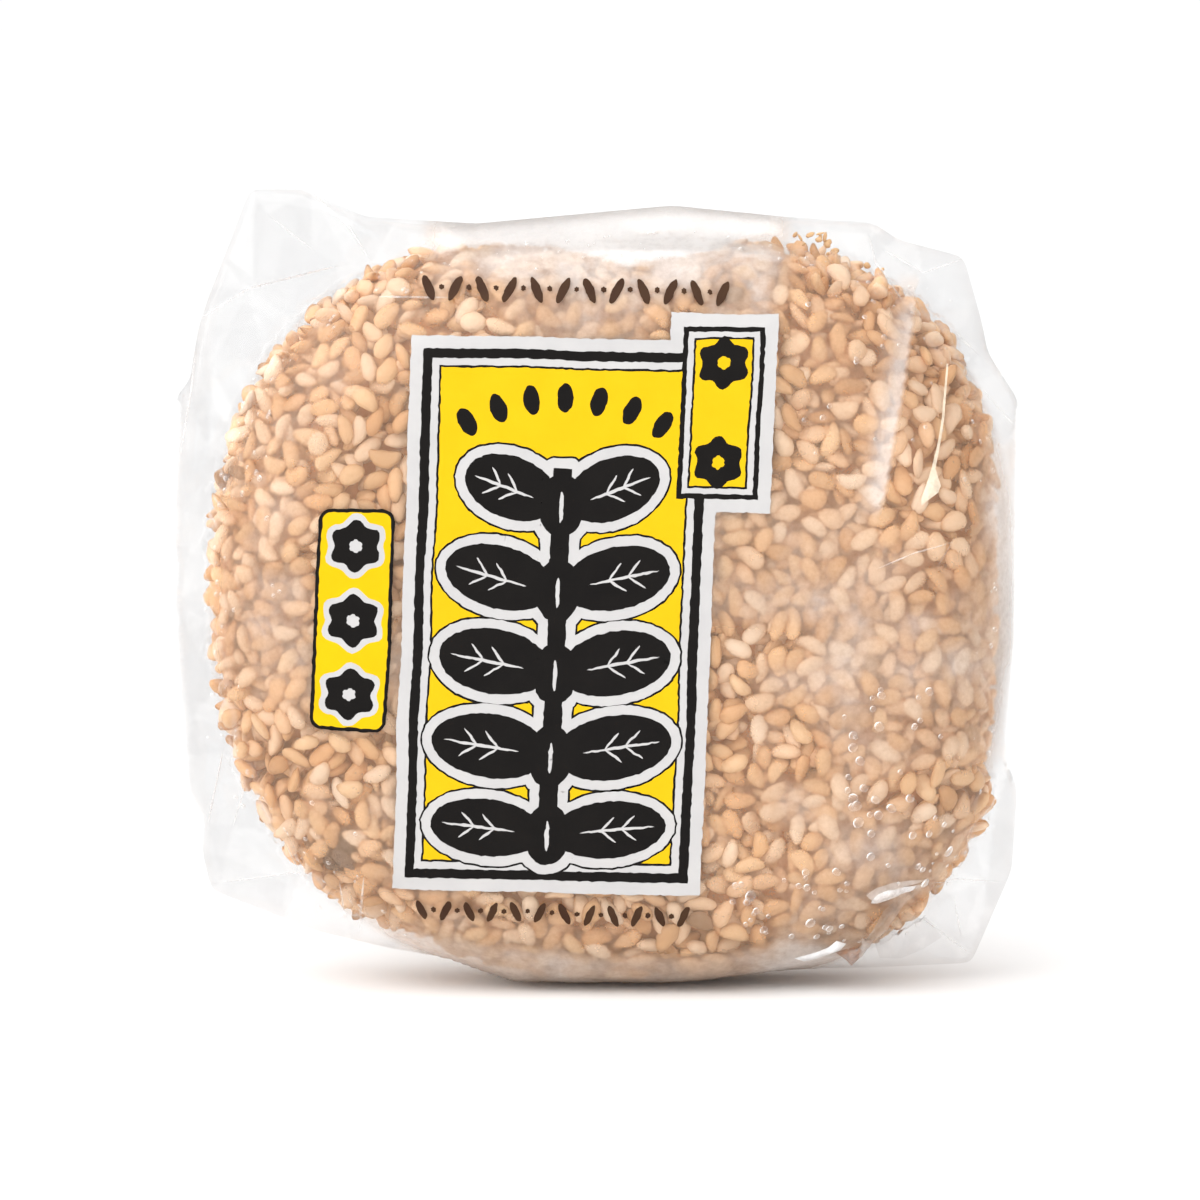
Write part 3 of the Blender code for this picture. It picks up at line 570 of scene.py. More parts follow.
def film_material():
    """Oriented polypropylene film, drawn thin and clear.

    It is glossy, most where it is seen edge on, and a little grey with wear; it is also tinted lighter and
    darker facet by facet, painted shade and painted reflection of its crumples. The cake's damp fogs it: thin
    fog is painted with the crust's colour, the crust's light seen through it, thick fog is white, and blur
    softens what is behind.
    """
    material, tree = new_material("clear_polypropylene_film")
    fog, blur, facet = (
        add(tree, "Attribute", out="Fac", attribute_name=look) for look in ("fog", "blur", "facet")
    )
    lie = add(tree, "Attribute", out="Vector", attribute_name="lie")
    place = add(tree, "TexCoord", out="Object")
    facing = add(tree, "LayerWeight", {"Blend": 0.5}, "Facing")
    steep = add(tree, "Math", {0: facing, 1: 4.0}, operation="POWER")
    shine = add(tree, "Math", {0: steep, 1: 0.85, 2: 0.03}, operation="MULTIPLY_ADD")
    streaks = add(tree, "TexNoise", {
        "Vector": place, "Scale": FILM_STREAKS, "Detail": 5.0, "Roughness": 0.75,
    })
    # grey from wear streaks and from the facets' tones; the tones are painted shade and painted reflection
    wear_and_facet_shade = add(tree, "Math", {0: streaks, 1: 0.35, 2: facet}, operation="MULTIPLY_ADD")
    grey = add(tree, "MapRange", {"Value": wear_and_facet_shade, "From Min": 0.15, "From Max": 1.15})
    tint = add(tree, "Mix", {
        0: grey, 6: (0.968, 0.968, 0.968, 1.0), 7: (0.880, 0.880, 0.883, 1.0),
    }, 2, data_type="RGBA")
    clear = add(tree, "BsdfTransparent", {"Color": tint})
    gloss = add(tree, "BsdfGlossy", {"Color": (1.0, 1.0, 1.0, 1.0), "Roughness": 0.09})
    sheet = add(tree, "MixShader", {0: shine, 1: clear, 2: gloss})
    droplets = add(tree, "TexNoise", {
        "Vector": place, "Scale": FOG_DROPLETS, "Detail": 3.0, "Roughness": 0.6,
    })
    patchy = add(tree, "MapRange", {
        "Value": droplets, "From Min": 0.3, "From Max": 0.7, "To Min": 0.86, "To Max": 1.14,
    })
    amount = add(tree, "Math", {0: fog, 1: patchy}, operation="MULTIPLY", use_clamp=True)
    thick = add(tree, "MapRange", {"Value": amount, "From Min": 0.16, "From Max": 0.50})
    # thin fog painted in the crust's colour: the crust's light seen through it
    milk = add(tree, "Mix", {0: thick, 6: linear("#E8BE99"), 7: linear("#F5EAE2")}, 2, data_type="RGBA")
    deep = add(tree, "MapRange", {"Value": amount, "From Min": 0.6, "From Max": 0.8})
    white = add(tree, "Mix", {0: deep, 6: milk, 7: linear("#FFFEFD")}, 2, data_type="RGBA")
    front = add(tree, "BsdfDiffuse", {"Color": white, "Normal": lie})
    through = add(tree, "BsdfTranslucent", {"Color": linear("#FFFAF6"), "Normal": lie})
    share = add(tree, "MapRange", {"Value": deep, "To Min": 0.15, "To Max": 0.38})
    mist = add(tree, "MixShader", {0: share, 1: front, 2: through})
    blurred = add(tree, "Math", {0: blur, 1: patchy}, operation="MULTIPLY", use_clamp=True)
    spread = add(tree, "BsdfTranslucent", {"Color": linear("#FCFCFC"), "Normal": lie})
    damp = add(tree, "MixShader", {0: blurred, 1: sheet, 2: spread})
    add(tree, "OutputMaterial", {"Surface": add(tree, "MixShader", {0: amount, 1: damp, 2: mist})})
    return material


def crease_material(name, colour, least, most):
    """Polypropylene film pale where it was folded sharply: milky, glossy, partly see-through. Its colour is
    partly the film's own whitening and partly painted highlight and painted reflection.
    """
    material, tree = new_material(name)
    place = add(tree, "TexCoord", out="Object")
    crazing = add(tree, "TexNoise", {"Vector": place, "Scale": FOLD_CRAZING, "Detail": 3.0, "Roughness": 0.7})
    amount = add(tree, "MapRange", {
        "Value": crazing, "From Min": 0.3, "From Max": 0.7, "To Min": least, "To Max": most,
    })
    clear = add(tree, "BsdfTransparent", {"Color": (0.97, 0.97, 0.97, 1.0)})
    milky = add(tree, "BsdfPrincipled", {"Base Color": linear(colour), "Roughness": 0.35, "IOR": 1.49})
    add(tree, "OutputMaterial", {"Surface": add(tree, "MixShader", {0: amount, 1: clear, 2: milky})})
    return material


def water_material():
    """Condensed water in beads on the film: clear, with a darker rim, and a white crescent of painted
    highlight on the window's side.
    """
    material, tree = new_material("condensed_water_beads_painted_highlight")
    place = add(tree, "TexCoord", out="Object")
    ripple = add(tree, "TexNoise", {"Vector": place, "Scale": BEAD_RIPPLE, "Detail": 1.0})
    bump = add(tree, "Bump", {"Height": ripple, "Strength": 0.1, "Distance": 0.05 * MM})
    facing = add(tree, "LayerWeight", {"Blend": 0.5, "Normal": bump}, "Facing")
    rim = add(tree, "Math", {0: facing, 1: 1.6}, operation="POWER")
    shine = add(tree, "Math", {0: rim, 1: 0.9, 2: 0.08}, operation="MULTIPLY_ADD")
    clear = add(tree, "BsdfTransparent", {"Color": (0.97, 0.96, 0.95, 1.0)})
    gloss = add(tree, "BsdfGlossy", {"Color": (1.0, 1.0, 1.0, 1.0), "Roughness": 0.03, "Normal": bump})
    bead = add(tree, "MixShader", {0: shine, 1: clear, 2: gloss})
    # painted highlight: how much of the white crescent each point shows
    painted_glint = add(tree, "Attribute", out="Fac", attribute_name="painted_glint")
    # flat white, painted in place of the window's light caught in the drop
    lit = add(tree, "BsdfDiffuse", {"Color": linear("#FFFFFF")})
    add(tree, "OutputMaterial", {"Surface": add(tree, "MixShader", {0: painted_glint, 1: bead, 2: lit})})
    return material


def ink_material(name, colour, faded, roughness):
    """Gravure ink under the film's gloss: flat and even, with the faint mottle of ink on plastic."""
    material, tree = new_material(name)
    place = add(tree, "TexCoord", out="Object")
    mottle = add(tree, "TexNoise", {"Vector": place, "Scale": INK_MOTTLE, "Detail": 4.0, "Roughness": 0.6})
    part = add(tree, "MapRange", {"Value": mottle, "From Min": 0.35, "From Max": 0.75})
    tint = add(tree, "Mix", {0: part, 6: linear(colour), 7: linear(faded)}, 2, data_type="RGBA")
    bump = add(tree, "Bump", {"Height": mottle, "Strength": 0.15, "Distance": 0.1 * MM})
    ink = add(tree, "BsdfPrincipled", {
        "Base Color": tint, "Roughness": roughness, "IOR": 1.45, "Normal": bump, "Specular IOR Level": 0.13,
    })
    add(tree, "OutputMaterial", {"Surface": ink})
    return material


# The cake


def cake_surface(rings, sides, inset):
    """Points and faces of the cake's surface, drawn in by inset all round."""
    angle = np.arange(sides) * math.tau / sides
    reach = cake_reach(angle)
    outward = [(i / rings * (reach - RIM_ROUND), 1.0) for i in range(1, rings)]
    for i in range(rings + 1):
        turn = i / rings * math.pi / 2
        outward.append((
            reach - RIM_ROUND + (RIM_ROUND - inset) * math.sin(turn) ** (2 / RIM_POWER),
            math.cos(turn) ** (2 / RIM_POWER),
        ))
    rows = []
    for r, lift in outward:
        rows.append((r, (CAKE_HALF_DEPTH - inset + FACE_CROWN * (1 - (r / reach) ** 2)) * lift))
    rows += [(r, -depth) for r, depth in rows[-2::-1]]
    across, up = np.cos(angle), np.sin(angle)
    points = [np.stack((CAKE_X + r * across, -depth, CAKE_Z + r * up), 1) for r, depth in rows]
    middle = CAKE_HALF_DEPTH - inset + FACE_CROWN
    points.append(np.array([[CAKE_X, -middle, CAKE_Z], [CAKE_X, middle, CAKE_Z]]))
    faces = [(a, d, c, b) for a, b, c, d in quads(len(rows), sides, True)]
    last = len(rows) * sides
    for j in range(sides):
        faces.append((last, j, (j + 1) % sides))
        faces.append((last + 1, last - sides + (j + 1) % sides, last - sides + j))
    return np.concatenate(points), faces


def spread_on_cake(chance, count):
    """Points drawn evenly over the cake's surface, with the way out there."""
    vertices, faces = cake_surface(16, 160, 0.0)
    triangles = np.array([(f[0], f[i], f[i + 1]) for f in faces for i in range(1, len(f) - 1)])
    a, b, c = (vertices[triangles[:, i]] for i in range(3))
    normals = np.cross(b - a, c - a)
    areas = np.linalg.norm(normals, axis=1)
    picked = chance.choice(len(triangles), count, p=areas / areas.sum())
    s, t = chance.random((2, count))
    over = s + t > 1
    s[over], t[over] = 1 - s[over], 1 - t[over]
    places = a[picked] + s[:, None] * (b - a)[picked] + t[:, None] * (c - a)[picked]
    out = normals[picked] / areas[picked][:, None]
    middle = np.array((CAKE_X, 0.0, CAKE_Z))
    wrong = ((places - middle) * out).sum(1) < 0
    out[wrong] *= -1
    return places, out


def lay_seeds():
    """Seeds one by one over the cake, in layers: the middle, the axes and the three sizes of each."""
    chance = np.random.default_rng(5)
    cells, laid = {}, []
    for count, closeness, least, most, tilt, roll in SEED_LAYERS:
        places, out = spread_on_cake(chance, count)
        turns = chance.uniform(0, math.tau, count)
        tilts = np.radians(chance.normal(0, (tilt, roll), (count, 2)).clip(-80, 80))
        deep = chance.uniform(least, most, count)
        at_rim = smooth_step(*AT_RIM, np.hypot(out[:, 0], out[:, 2]))
        tilts = tilts * (1 + at_rim[:, None] * RIM_TILTS)
        sizes = np.clip(chance.normal(1.0, SEED_SPREAD, (3, count)), SEED_LEAST, SEED_MOST)
        _, angle = polar(places[:, 0], places[:, 2])
        room = np.clip((film_reach(angle)[0] - cake_reach(angle) - ROOM_FROM) / ROOM_SPAN, 0.0, 1.0)
        deep = deep - SEED_STANDS_OUT * room * at_rim * chance.random(count)
        for n in range(count):
            normal = Vector(out[n])
            along = normal.orthogonal().normalized()
            across = normal.cross(along)
            along, across = (
                along * math.cos(turns[n]) + across * math.sin(turns[n]),
                across * math.cos(turns[n]) - along * math.sin(turns[n]),
            )
            along = (along + normal * math.tan(tilts[n, 0])).normalized()
            across = (across + normal * math.tan(tilts[n, 1])).normalized()
            up = along.cross(across).normalized()
            if up.dot(normal) < 0:
                up.negate()
            across = up.cross(along)
            held = TILTED_SINKS * (1 - LOOSE_SINKS_LESS * room[n] * at_rim[n])
            sunk = deep[n] + abs(math.sin(tilts[n, 0])) * SEED_LENGTH * held
            sunk += abs(math.sin(tilts[n, 1])) * (SEED_WIDTH - SEED_THICKNESS) * 0.5
            middle = Vector(places[n]) - normal * sunk
            apart = Vector(places[n]) - normal * sunk * SEED_FLATNESS
            balls = [(apart + along * part * sizes[0, n], radius) for part, radius in SEED_PARTS]
            cell = tuple(int(c // SEED_GRAIN) for c in apart)
            near = [
                other for i in (-1, 0, 1) for j in (-1, 0, 1) for k in (-1, 0, 1)
                for other in cells.get((cell[0] + i, cell[1] + j, cell[2] + k), ())
            ]
            if any(
                (p - q).length_squared < ((a + b) * closeness) ** 2
                for other in near for q, b in other for p, a in balls
            ):
                continue
            cells.setdefault(cell, []).append(balls)
            laid.append((middle, along, across, up, sizes[:, n]))
    return laid


def seed_shape():
    """A sesame seed about its middle, blunt at one end and pointed at the other.

    Gives its points, its faces, and how near each point is to the tip and to the flat seed's rim, which is
    darkened: partly a brown glaze, partly painted shade.
    """
    points, tips, rim_glaze_and_shades = [(-1.0, 0.0, 0.0)], [0.0], [1.0]
    for i in range(1, SEED_RINGS + 1):
        u = -math.cos(math.pi * i / (SEED_RINGS + 1))
        half = (1 - u * u) ** SEED_BLUNT
        for j in range(SEED_SIDES):
            t = math.tau * j / SEED_SIDES
            lift = math.copysign(abs(math.sin(t)) ** SEED_SQUARE, math.sin(t))
            points.append((u, half * math.cos(t), half * lift))
            tips.append(max(0.0, (u - TIP_FROM) / (1 - TIP_FROM)) * TIP_BROWN)
            rim_glaze_and_shades.append(max(abs(math.cos(t)), abs(u)) ** 4)
    points.append((1.0, 0.0, 0.0))
    tips.append(1.0)
    rim_glaze_and_shades.append(1.0)
    faces = []
    for j in range(SEED_SIDES):
        k = (j + 1) % SEED_SIDES
        faces.append((0, 1 + k, 1 + j))
        for i in range(SEED_RINGS - 1):
            base = 1 + i * SEED_SIDES
            faces.append((base + j, base + k, base + SEED_SIDES + k))
            faces.append((base + j, base + SEED_SIDES + k, base + SEED_SIDES + j))
        base = 1 + (SEED_RINGS - 1) * SEED_SIDES
        faces.append((base + j, base + k, len(points) - 1))
    half_sizes = np.array((SEED_LENGTH, SEED_WIDTH, SEED_THICKNESS)) / 2
    return np.array(points) * half_sizes, np.array(faces), np.array(tips), np.array(rim_glaze_and_shades)


def sesame_seeds(laid):
    """One mesh for each kind of seed. Returns every seed's points too, for the film to lie on."""
    chance = np.random.default_rng(8)
    shape, faces, tips, rim_glaze_and_shades = seed_shape()
    kinds = chance.choice(len(SEED_KINDS), len(laid), p=[kind[1] for kind in SEED_KINDS])
    frames = np.array([(along, across, up) for _, along, across, up, _ in laid])
    middles = np.array([middle for middle, *_ in laid])
    sizes = np.array([size for *_, size in laid])
    shapes = shape[None] * sizes[:, None, :]
    taper = chance.uniform(*SEED_TAPERS, len(laid))
    shapes[:, :, 1:] *= 1 - taper[:, None, None] * shape[None, :, :1] / (SEED_LENGTH / 2)
    for axis, bend in ((1, SEED_BEND), (2, SEED_CURL)):
        bends = chance.normal(0, bend, len(laid))
        shapes[:, :, axis] += bends[:, None] * (shapes[:, :, 0] ** 2 - 0.7)
    along = shape[None, :, 0] / SEED_LENGTH * SEED_DENTS
    around = np.arctan2(shape[:, 2], shape[:, 1])[None]
    phase = chance.uniform(0, math.tau, (3, len(laid), 1))
    dents = np.sin(along + phase[0]) * np.cos(2 * around + phase[1])
    dents = dents + np.sin(2 * along + phase[2]) * np.cos(around)
    shapes[:, :, 1:] *= 1 + SEED_DENT * dents[:, :, None]
    points = middles[:, None, :] + np.einsum("nvk,nkc->nvc", shapes, frames)
    for number, (name, _, *colours) in enumerate(SEED_KINDS):
        chosen = np.flatnonzero(kinds == number)
        count = len(chosen)
        all_faces = (faces[None] + np.arange(count)[:, None, None] * len(shape)).reshape(-1, 3)
        tone = np.repeat(chance.random(count), len(shape))
        spotted = (chance.random(count) < SPOTTED_SHARE) * chance.uniform(*SPOT_DARKNESS, count)
        for x, z, reach, dark in DARK_SEEDS:
            far = np.hypot(middles[chosen, 0] - x, middles[chosen, 2] - z)
            spotted = np.where((far < reach) & (middles[chosen, 1] < 0), dark, spotted)
        mesh_piece(name, points[chosen].reshape(-1, 3), all_faces, seed_material(name, *colours), {
            "tone": tone, "tip": np.tile(tips, count), "dark": np.repeat(spotted, len(shape)),
            "rim": np.tile(rim_glaze_and_shades, count),
        })
    return points.reshape(-1, 3)


def core():
    """The cake's own lumpy surface, under the seeds."""
    vertices, faces = cake_surface(14, 120, CORE_INSET)
    lumps = CORE_LUMP * (soft_noise(vertices[:, 0] + vertices[:, 1], vertices[:, 2], CORE_LUMP_SIZE, 3) - 0.5)
    out = vertices - np.array((CAKE_X, 0.0, CAKE_Z))
    vertices = vertices + out / np.linalg.norm(out, axis=1)[:, None] * lumps[:, None]
    mesh_piece("rice_cake_core", vertices, faces, rice_cake_material())


# The film


def seed_tops(points, facing):
    """How far the seeds stand out on one side, over a grid of x and z."""
    low = np.array(TOP_GRID_LOW)
    tops = np.full([int(side / TOP_GRID) for side in TOP_GRID_SIZE], NO_SEED)
    ours = points[points[:, 1] * facing > 0]
    i = ((ours[:, 0] - low[0]) / TOP_GRID).round().astype(int)
    j = ((ours[:, 2] - low[1]) / TOP_GRID).round().astype(int)
    np.maximum.at(tops, (i, j), ours[:, 1] * facing)
    for _ in range(TOP_ROUNDS):
        wider = tops.copy()
        for axis in (0, 1):
            for step in (-1, 1):
                wider = np.maximum(wider, np.roll(tops, step, axis) - TOP_SLOPE)
        tops = wider
    return low, tops


def beside(values):
    """The mean of each grid place's four neighbours."""
    return sum(np.roll(values, step, axis) for axis in (0, 1) for step in (-1, 1)) / 4


def membrane(low, tops):
    """A film drawn over the tops: it touches the highest and hangs a little between them."""
    places = (start + np.arange(count) * TOP_GRID for start, count in zip(low, tops.shape))
    lowest = np.maximum(tops + FILM_REST, film_depth(*np.meshgrid(*places, indexing="ij")) - FILM_SAG)
    film = lowest
    for _ in range(MEMBRANE_STEPS):
        film = np.maximum(lowest, beside(film))
    return film


def on_grid(values, low, x, z):
    """The grid's value at x, z."""
    a = np.clip((x - low[0]) / TOP_GRID, 0, values.shape[0] - 1.001)
    b = np.clip((z - low[1]) / TOP_GRID, 0, values.shape[1] - 1.001)
    i, j = a.astype(int), b.astype(int)
    s, t = a - i, b - j
    lower = values[i, j] * (1 - s) + values[i + 1, j] * s
    upper = values[i, j + 1] * (1 - s) + values[i + 1, j + 1] * s
    return lower * (1 - t) + upper * t


def film_outline():
    """The film's edge with its corners eased."""
    outline = np.array(divided([(x, z) for x, z, _ in FILM_EDGE], FILM_STEP))
    for _ in range(3):
        outline = (np.roll(outline, 1, 0) + outline * 2 + np.roll(outline, -1, 0)) / 4
    return outline


def film_sheet_mesh(outline):
    """A fine even net of triangles inside the outline: points x, z and triangles."""
    nets = []
    for step, on_cake in ((FILM_STEP, True), (LOOSE_FILM_STEP, False)):
        high = step * math.sqrt(3) / 2
        for n in range(int(NET_HEIGHT / high)):
            xs = np.arange(-NET_HALF_WIDTH + (n % 2) * step / 2, NET_HALF_WIDTH, step)
            row = np.stack((xs, np.full_like(xs, NET_LOW + n * high)), 1)
            nets.append(row[(of_the_way(row[:, 0], row[:, 1]) < 1.0) == on_cake])
    net = np.concatenate(nets)
    r, angle = polar(net[:, 0], net[:, 1])
    edge_r, edge_angle = polar(outline[:, 0], outline[:, 1])
    order = np.argsort(edge_angle)
    inside = r < np.interp(angle, edge_angle[order], edge_r[order], period=math.tau) - FILM_STEP * 0.6
    return inside_loop(outline, net[inside], list(range(len(outline)))[::-1])


def inside_loop(outline, inner, loop):
    """Triangles between an outline's points and more points inside it."""
    points = [Vector(p) for p in np.concatenate((outline, inner))]
    flat, _, faces, _, _, owners = delaunay_2d_cdt(points, [], [loop], 0, 1e-5, True)
    return np.array([tuple(p) for p in flat]), [face for face, owner in zip(faces, owners) if owner]


def off_line(x, z, line):
    """Distance from a line of points, and which side of it: above 0 on its left as it runs."""
    best, side = np.full(np.shape(x), 1e9), np.zeros(np.shape(x))
    for (x1, z1), (x2, z2) in zip(line, line[1:]):
        run = max((x2 - x1) ** 2 + (z2 - z1) ** 2, 1e-9)
        part = np.clip(((x - x1) * (x2 - x1) + (z - z1) * (z2 - z1)) / run, 0.0, 1.0)
        far = np.hypot(x - x1 - part * (x2 - x1), z - z1 - part * (z2 - z1))
        turn = (x2 - x1) * (z - z1) - (z2 - z1) * (x - x1)
        nearer = far < best
        best, side = np.where(nearer, far, best), np.where(nearer, turn, side)
    return best, side


def crumpled(x, z, spacing, seed, folds=()):
    """Crisp facets, like film that was crushed and let go: the height of each place, and its facet's tone,
    drawn at random and used as painted shade and painted reflection.

    Both run from 0 to 1. A fold is a line with its own height.
    """
    chance = random.Random(seed)
    knots, heights, lines = [], [], []
    for height, _, line in folds:
        for point in line:
            if point is not line[0]:
                lines.append((len(knots) - 1, len(knots)))
            knots.append(tuple(point))
            heights.append(height)
    stray = KNOT_STRAY * spacing
    for a in np.arange(*KNOTS_ACROSS, spacing):
        for b in np.arange(*KNOTS_UP, spacing):
            spot = tuple(c + chance.uniform(-KNOT_STRAY, KNOT_STRAY) * spacing for c in (a, b))
            height = chance.random()
            if all(off_line(*spot, line)[0] > stray for *_, line in folds):
                knots.append(spot)
                heights.append(height)
    flat, _, faces, came_from, *_ = delaunay_2d_cdt([Vector(p) for p in knots], lines, [], 0, 1e-5, True)
    heights = [heights[sources[0]] if sources else 0.5 for sources in came_from]
    tree = BVHTree.FromPolygons([(p[0], p[1], h) for p, h in zip(flat, heights)], faces)
    tones = [chance.random() for _ in faces]
    found = [tree.ray_cast(Vector((a, b, 5.0)), Vector((0, 0, -1))) for a, b in zip(x, z)]
    heights = np.array([hit[0][2] if hit[0] else 0.5 for hit in found])
    return heights, np.array([tones[hit[2]] if hit[0] else 0.5 for hit in found])


def film_height(x, z, sheet, facing):
    """How far the film stands out at x, z, how wide the gap under it is, and its facets' tones of painted
    shade and reflection, 0 to 1.
    """
    low, tops, film = sheet
    r, angle = polar(x, z)
    edge, _ = film_reach(angle)
    smooth = film_depth(x, z)
    loose = smooth_step(*LOOSE_FILM, r / cake_reach(angle))
    height = on_grid(film, low, x, z) * (1 - loose) + smooth * loose
    big, big_painted_shade = crumpled(x, z, FACET_SIZES[0], 21 + facing, FOLDS if facing < 0 else ())
    small, small_painted_shade = crumpled(x, z, FACET_SIZES[1], 31 + facing)
    # the facets' tones: painted shade and painted reflection
    facets = smooth_step(*FACET_CONTRAST, big_painted_shade) * FACET_PAINTED_SHADES[0] + small_painted_shade * FACET_PAINTED_SHADES[1]
    dented = big * FACET_DEPTHS[0] + small * FACET_DEPTHS[1]
    height = height - loose * dented * np.minimum(CRUMPLED_MOST, smooth * CRUMPLED_PART)
    seeds = on_grid(tops, low, x, z)
    height = np.maximum(height, seeds + FILM_REST * REST_LEFT)
    if facing < 0:
        near = print_nearness(x, z)
        height = height * (1 - near) + (smooth + FILM_OVER_PRINT) * near
        height = np.where(near < 0.999, np.maximum(height, seeds + FILM_REST * REST_LEFT_BY_PRINT), height)
    inward = np.clip((edge - r) / EDGE_ROUND, 0.0, 1.0)
    height = height * np.sqrt(np.clip(1 - (1 - inward) ** 2, 0.0, 1.0))
    for _ in range(EVENING_STEPS):
        tops = beside(tops)
    return height, smooth - on_grid(tops, low, x, z), facets


def film_lie(x, z, facing):
    """The way out from the film at x, z, with its bumps left out."""
    across = (film_depth(x + LIE_REACH, z) - film_depth(x - LIE_REACH, z)) / (2 * LIE_REACH)
    up = (film_depth(x, z + LIE_REACH) - film_depth(x, z - LIE_REACH)) / (2 * LIE_REACH)
    out = np.stack((-across, np.full_like(across, facing), -up), 1)
    return out / np.linalg.norm(out, axis=1)[:, None]


def fog_amount(x, z, gap, facing):
    """How white the film is with damp, and how much it blurs: least where it touches a seed."""
    patches = 0.0
    for n, (size, share) in enumerate(FOG_LUMPS):
        patches = patches + soft_noise(x, z, size, 40 + n + facing) * share
    on_cake = 1 - smooth_step(*FOG_ENDS, of_the_way(x, z))
    open_gap = smooth_step(*OPEN_GAP, gap)
    damp = smooth_step(*FOG_DAMP, patches)
    if facing < 0:
        for a, b, half_width, half_height, amount in FOG_PATCHES:
            damp = damp + amount * np.exp(-((x - a) / half_width) ** 2 - ((z - b) / half_height) ** 2)
    damp = np.clip(damp, 0.0, MOST_DAMP)
    fog = FOG_LEAST + damp * (FOG_OF_DAMP + FOG_OF_GAP * open_gap)
    fog = fog * on_cake + LOOSE_FOG * (1 - on_cake)
    blur = (BLUR_LEAST + damp * (BLUR_OF_DAMP + BLUR_OF_GAP * open_gap)) * on_cake
    if facing < 0:
        # strokes of white, the first of them painted highlight
        for amount, left, right, line in FOG_STROKES:
            far, side = off_line(x, z, line)
            fog = fog + amount * (1 - smooth_step(0.0, 1.0, far / np.where(side > 0, left, right)))
        above = z - np.interp(x, *np.array(CAKE_SHOWS_TO).T)
        ends = smooth_step(*TOP_FOG_ENDS[:2], x) * (1 - smooth_step(*TOP_FOG_ENDS[2:], x))
        past = smooth_step(-0.5, 0.4, above)
        fog = fog + ends * past * TOP_FOG + ends * NEAR_TOP_FOG * smooth_step(-5.5, -1.0, above) * (1 - past)
        under = np.interp(x, *np.array(BLURRED_BELOW).T)
        below = FOOT_FOG * (1 - smooth_step(-1.2, 0.6, z - under)) * on_cake
        fog, blur = fog + below, blur + below
    return np.clip(fog, 0.0, MOST_FOG), np.clip(blur, 0.0, MOST_BLUR)


def film_side(name, points, faces, outline_count, sheet, facing, material):
    """The film on one side of the pack. Its outline lies in the middle, where the two sides meet."""
    x, z = points.T
    height, gap, facets = film_height(x, z, sheet, facing)
    height[:outline_count] = 0.0
    if facing > 0:
        faces = [f[::-1] for f in faces]
    fog, blur = fog_amount(x, z, gap, facing)
    looks = {"fog": fog, "blur": blur, "facet": facets, "lie": film_lie(x, z, facing)}
    mesh_piece(name, np.stack((x, facing * height, z), 1), faces, material, looks)


def ridge(line, half_width, sheet, lift=0.05, rise=0.06):
    """A thin ridge on the front film along a line of x, z: its points and faces."""
    line = np.array(divided(line, 0.6, closed=False))
    way = np.gradient(line, axis=0)
    way /= np.linalg.norm(way, axis=1)[:, None]
    aside = np.stack((-way[:, 1], way[:, 0]), 1)
    taper = np.minimum(1.0, np.minimum(np.arange(len(line)), np.arange(len(line))[::-1]) / 3 + 0.1)[:, None]
    x, z = np.concatenate([line + aside * half_width * taper * side for side in (-1, -0.5, 0, 0.5, 1)]).T
    height = film_height(x, z, sheet, -1)[0] + lift
    height += rise * np.repeat((0, 0.7, 1, 0.7, 0), len(line)) * np.tile(taper[:, 0], 5)
    return np.stack((x, -height, z), 1), quads(5, len(line))


def creases(sheet):
    """The folds' pale ridges on the front film: partly the film's own whitening, partly painted highlight."""
    lines = [(width, line) for _, width, line in FOLDS if width] + list(FACE_CREASES)
    vertices, faces = joined([ridge(line, width, sheet) for width, line in lines])
    mesh_piece("film_creases", vertices, faces, crease_material("film_fold_whitening_and_painted_highlight", "#EDE8E4", 0.08, 0.50))


def patch(outline, step):
    """An even net of triangles inside an outline of x, z that runs anticlockwise.

    Gives its points x and z, its faces, front side out, and how far inside the outline each point is.
    """
    loop = np.array(divided(outline, step))
    low, high = loop.min(0), loop.max(0)
    columns, rows = np.meshgrid(np.arange(low[0], high[0], step), np.arange(low[1], high[1], step * 0.866))
    columns = columns + step / 2 * (np.arange(len(rows)) % 2)[:, None]
    inner = np.stack((columns.ravel(), rows.ravel()), 1)
    closed = list(map(tuple, loop)) + [tuple(loop[0])]
    inner = inner[off_line(inner[:, 0], inner[:, 1], closed)[0] > step * 0.5]
    flat, faces = only_used(*inside_loop(loop, inner, list(range(len(loop)))))
    x, z = flat.T
    return x, z, [face[::-1] for face in faces], off_line(x, z, closed)[0]


def face_folds(sheet):
    """Film pinched up or doubled: a pinch, pale with painted highlight, and at the lower right lips and a
    shard bright with painted highlight and a flap brown with the cake's painted reflection and shade.
    """
    for name, colour, least, most, lift, outline in FACE_FOLDS:
        x, z, faces, inside = patch(outline, 0.3)
        height = film_height(x, z, sheet, -1)[0] + 0.05 + lift * smooth_step(0.0, 0.5, inside)
        # pale and brown film: painted highlight, and on the flap painted reflection and shade
        whitening_and_painted_light = crease_material(name.replace("film", "whitened_film"), colour, least, most)
        mesh_piece(name, np.stack((x, -height, z), 1), faces, whitening_and_painted_light)


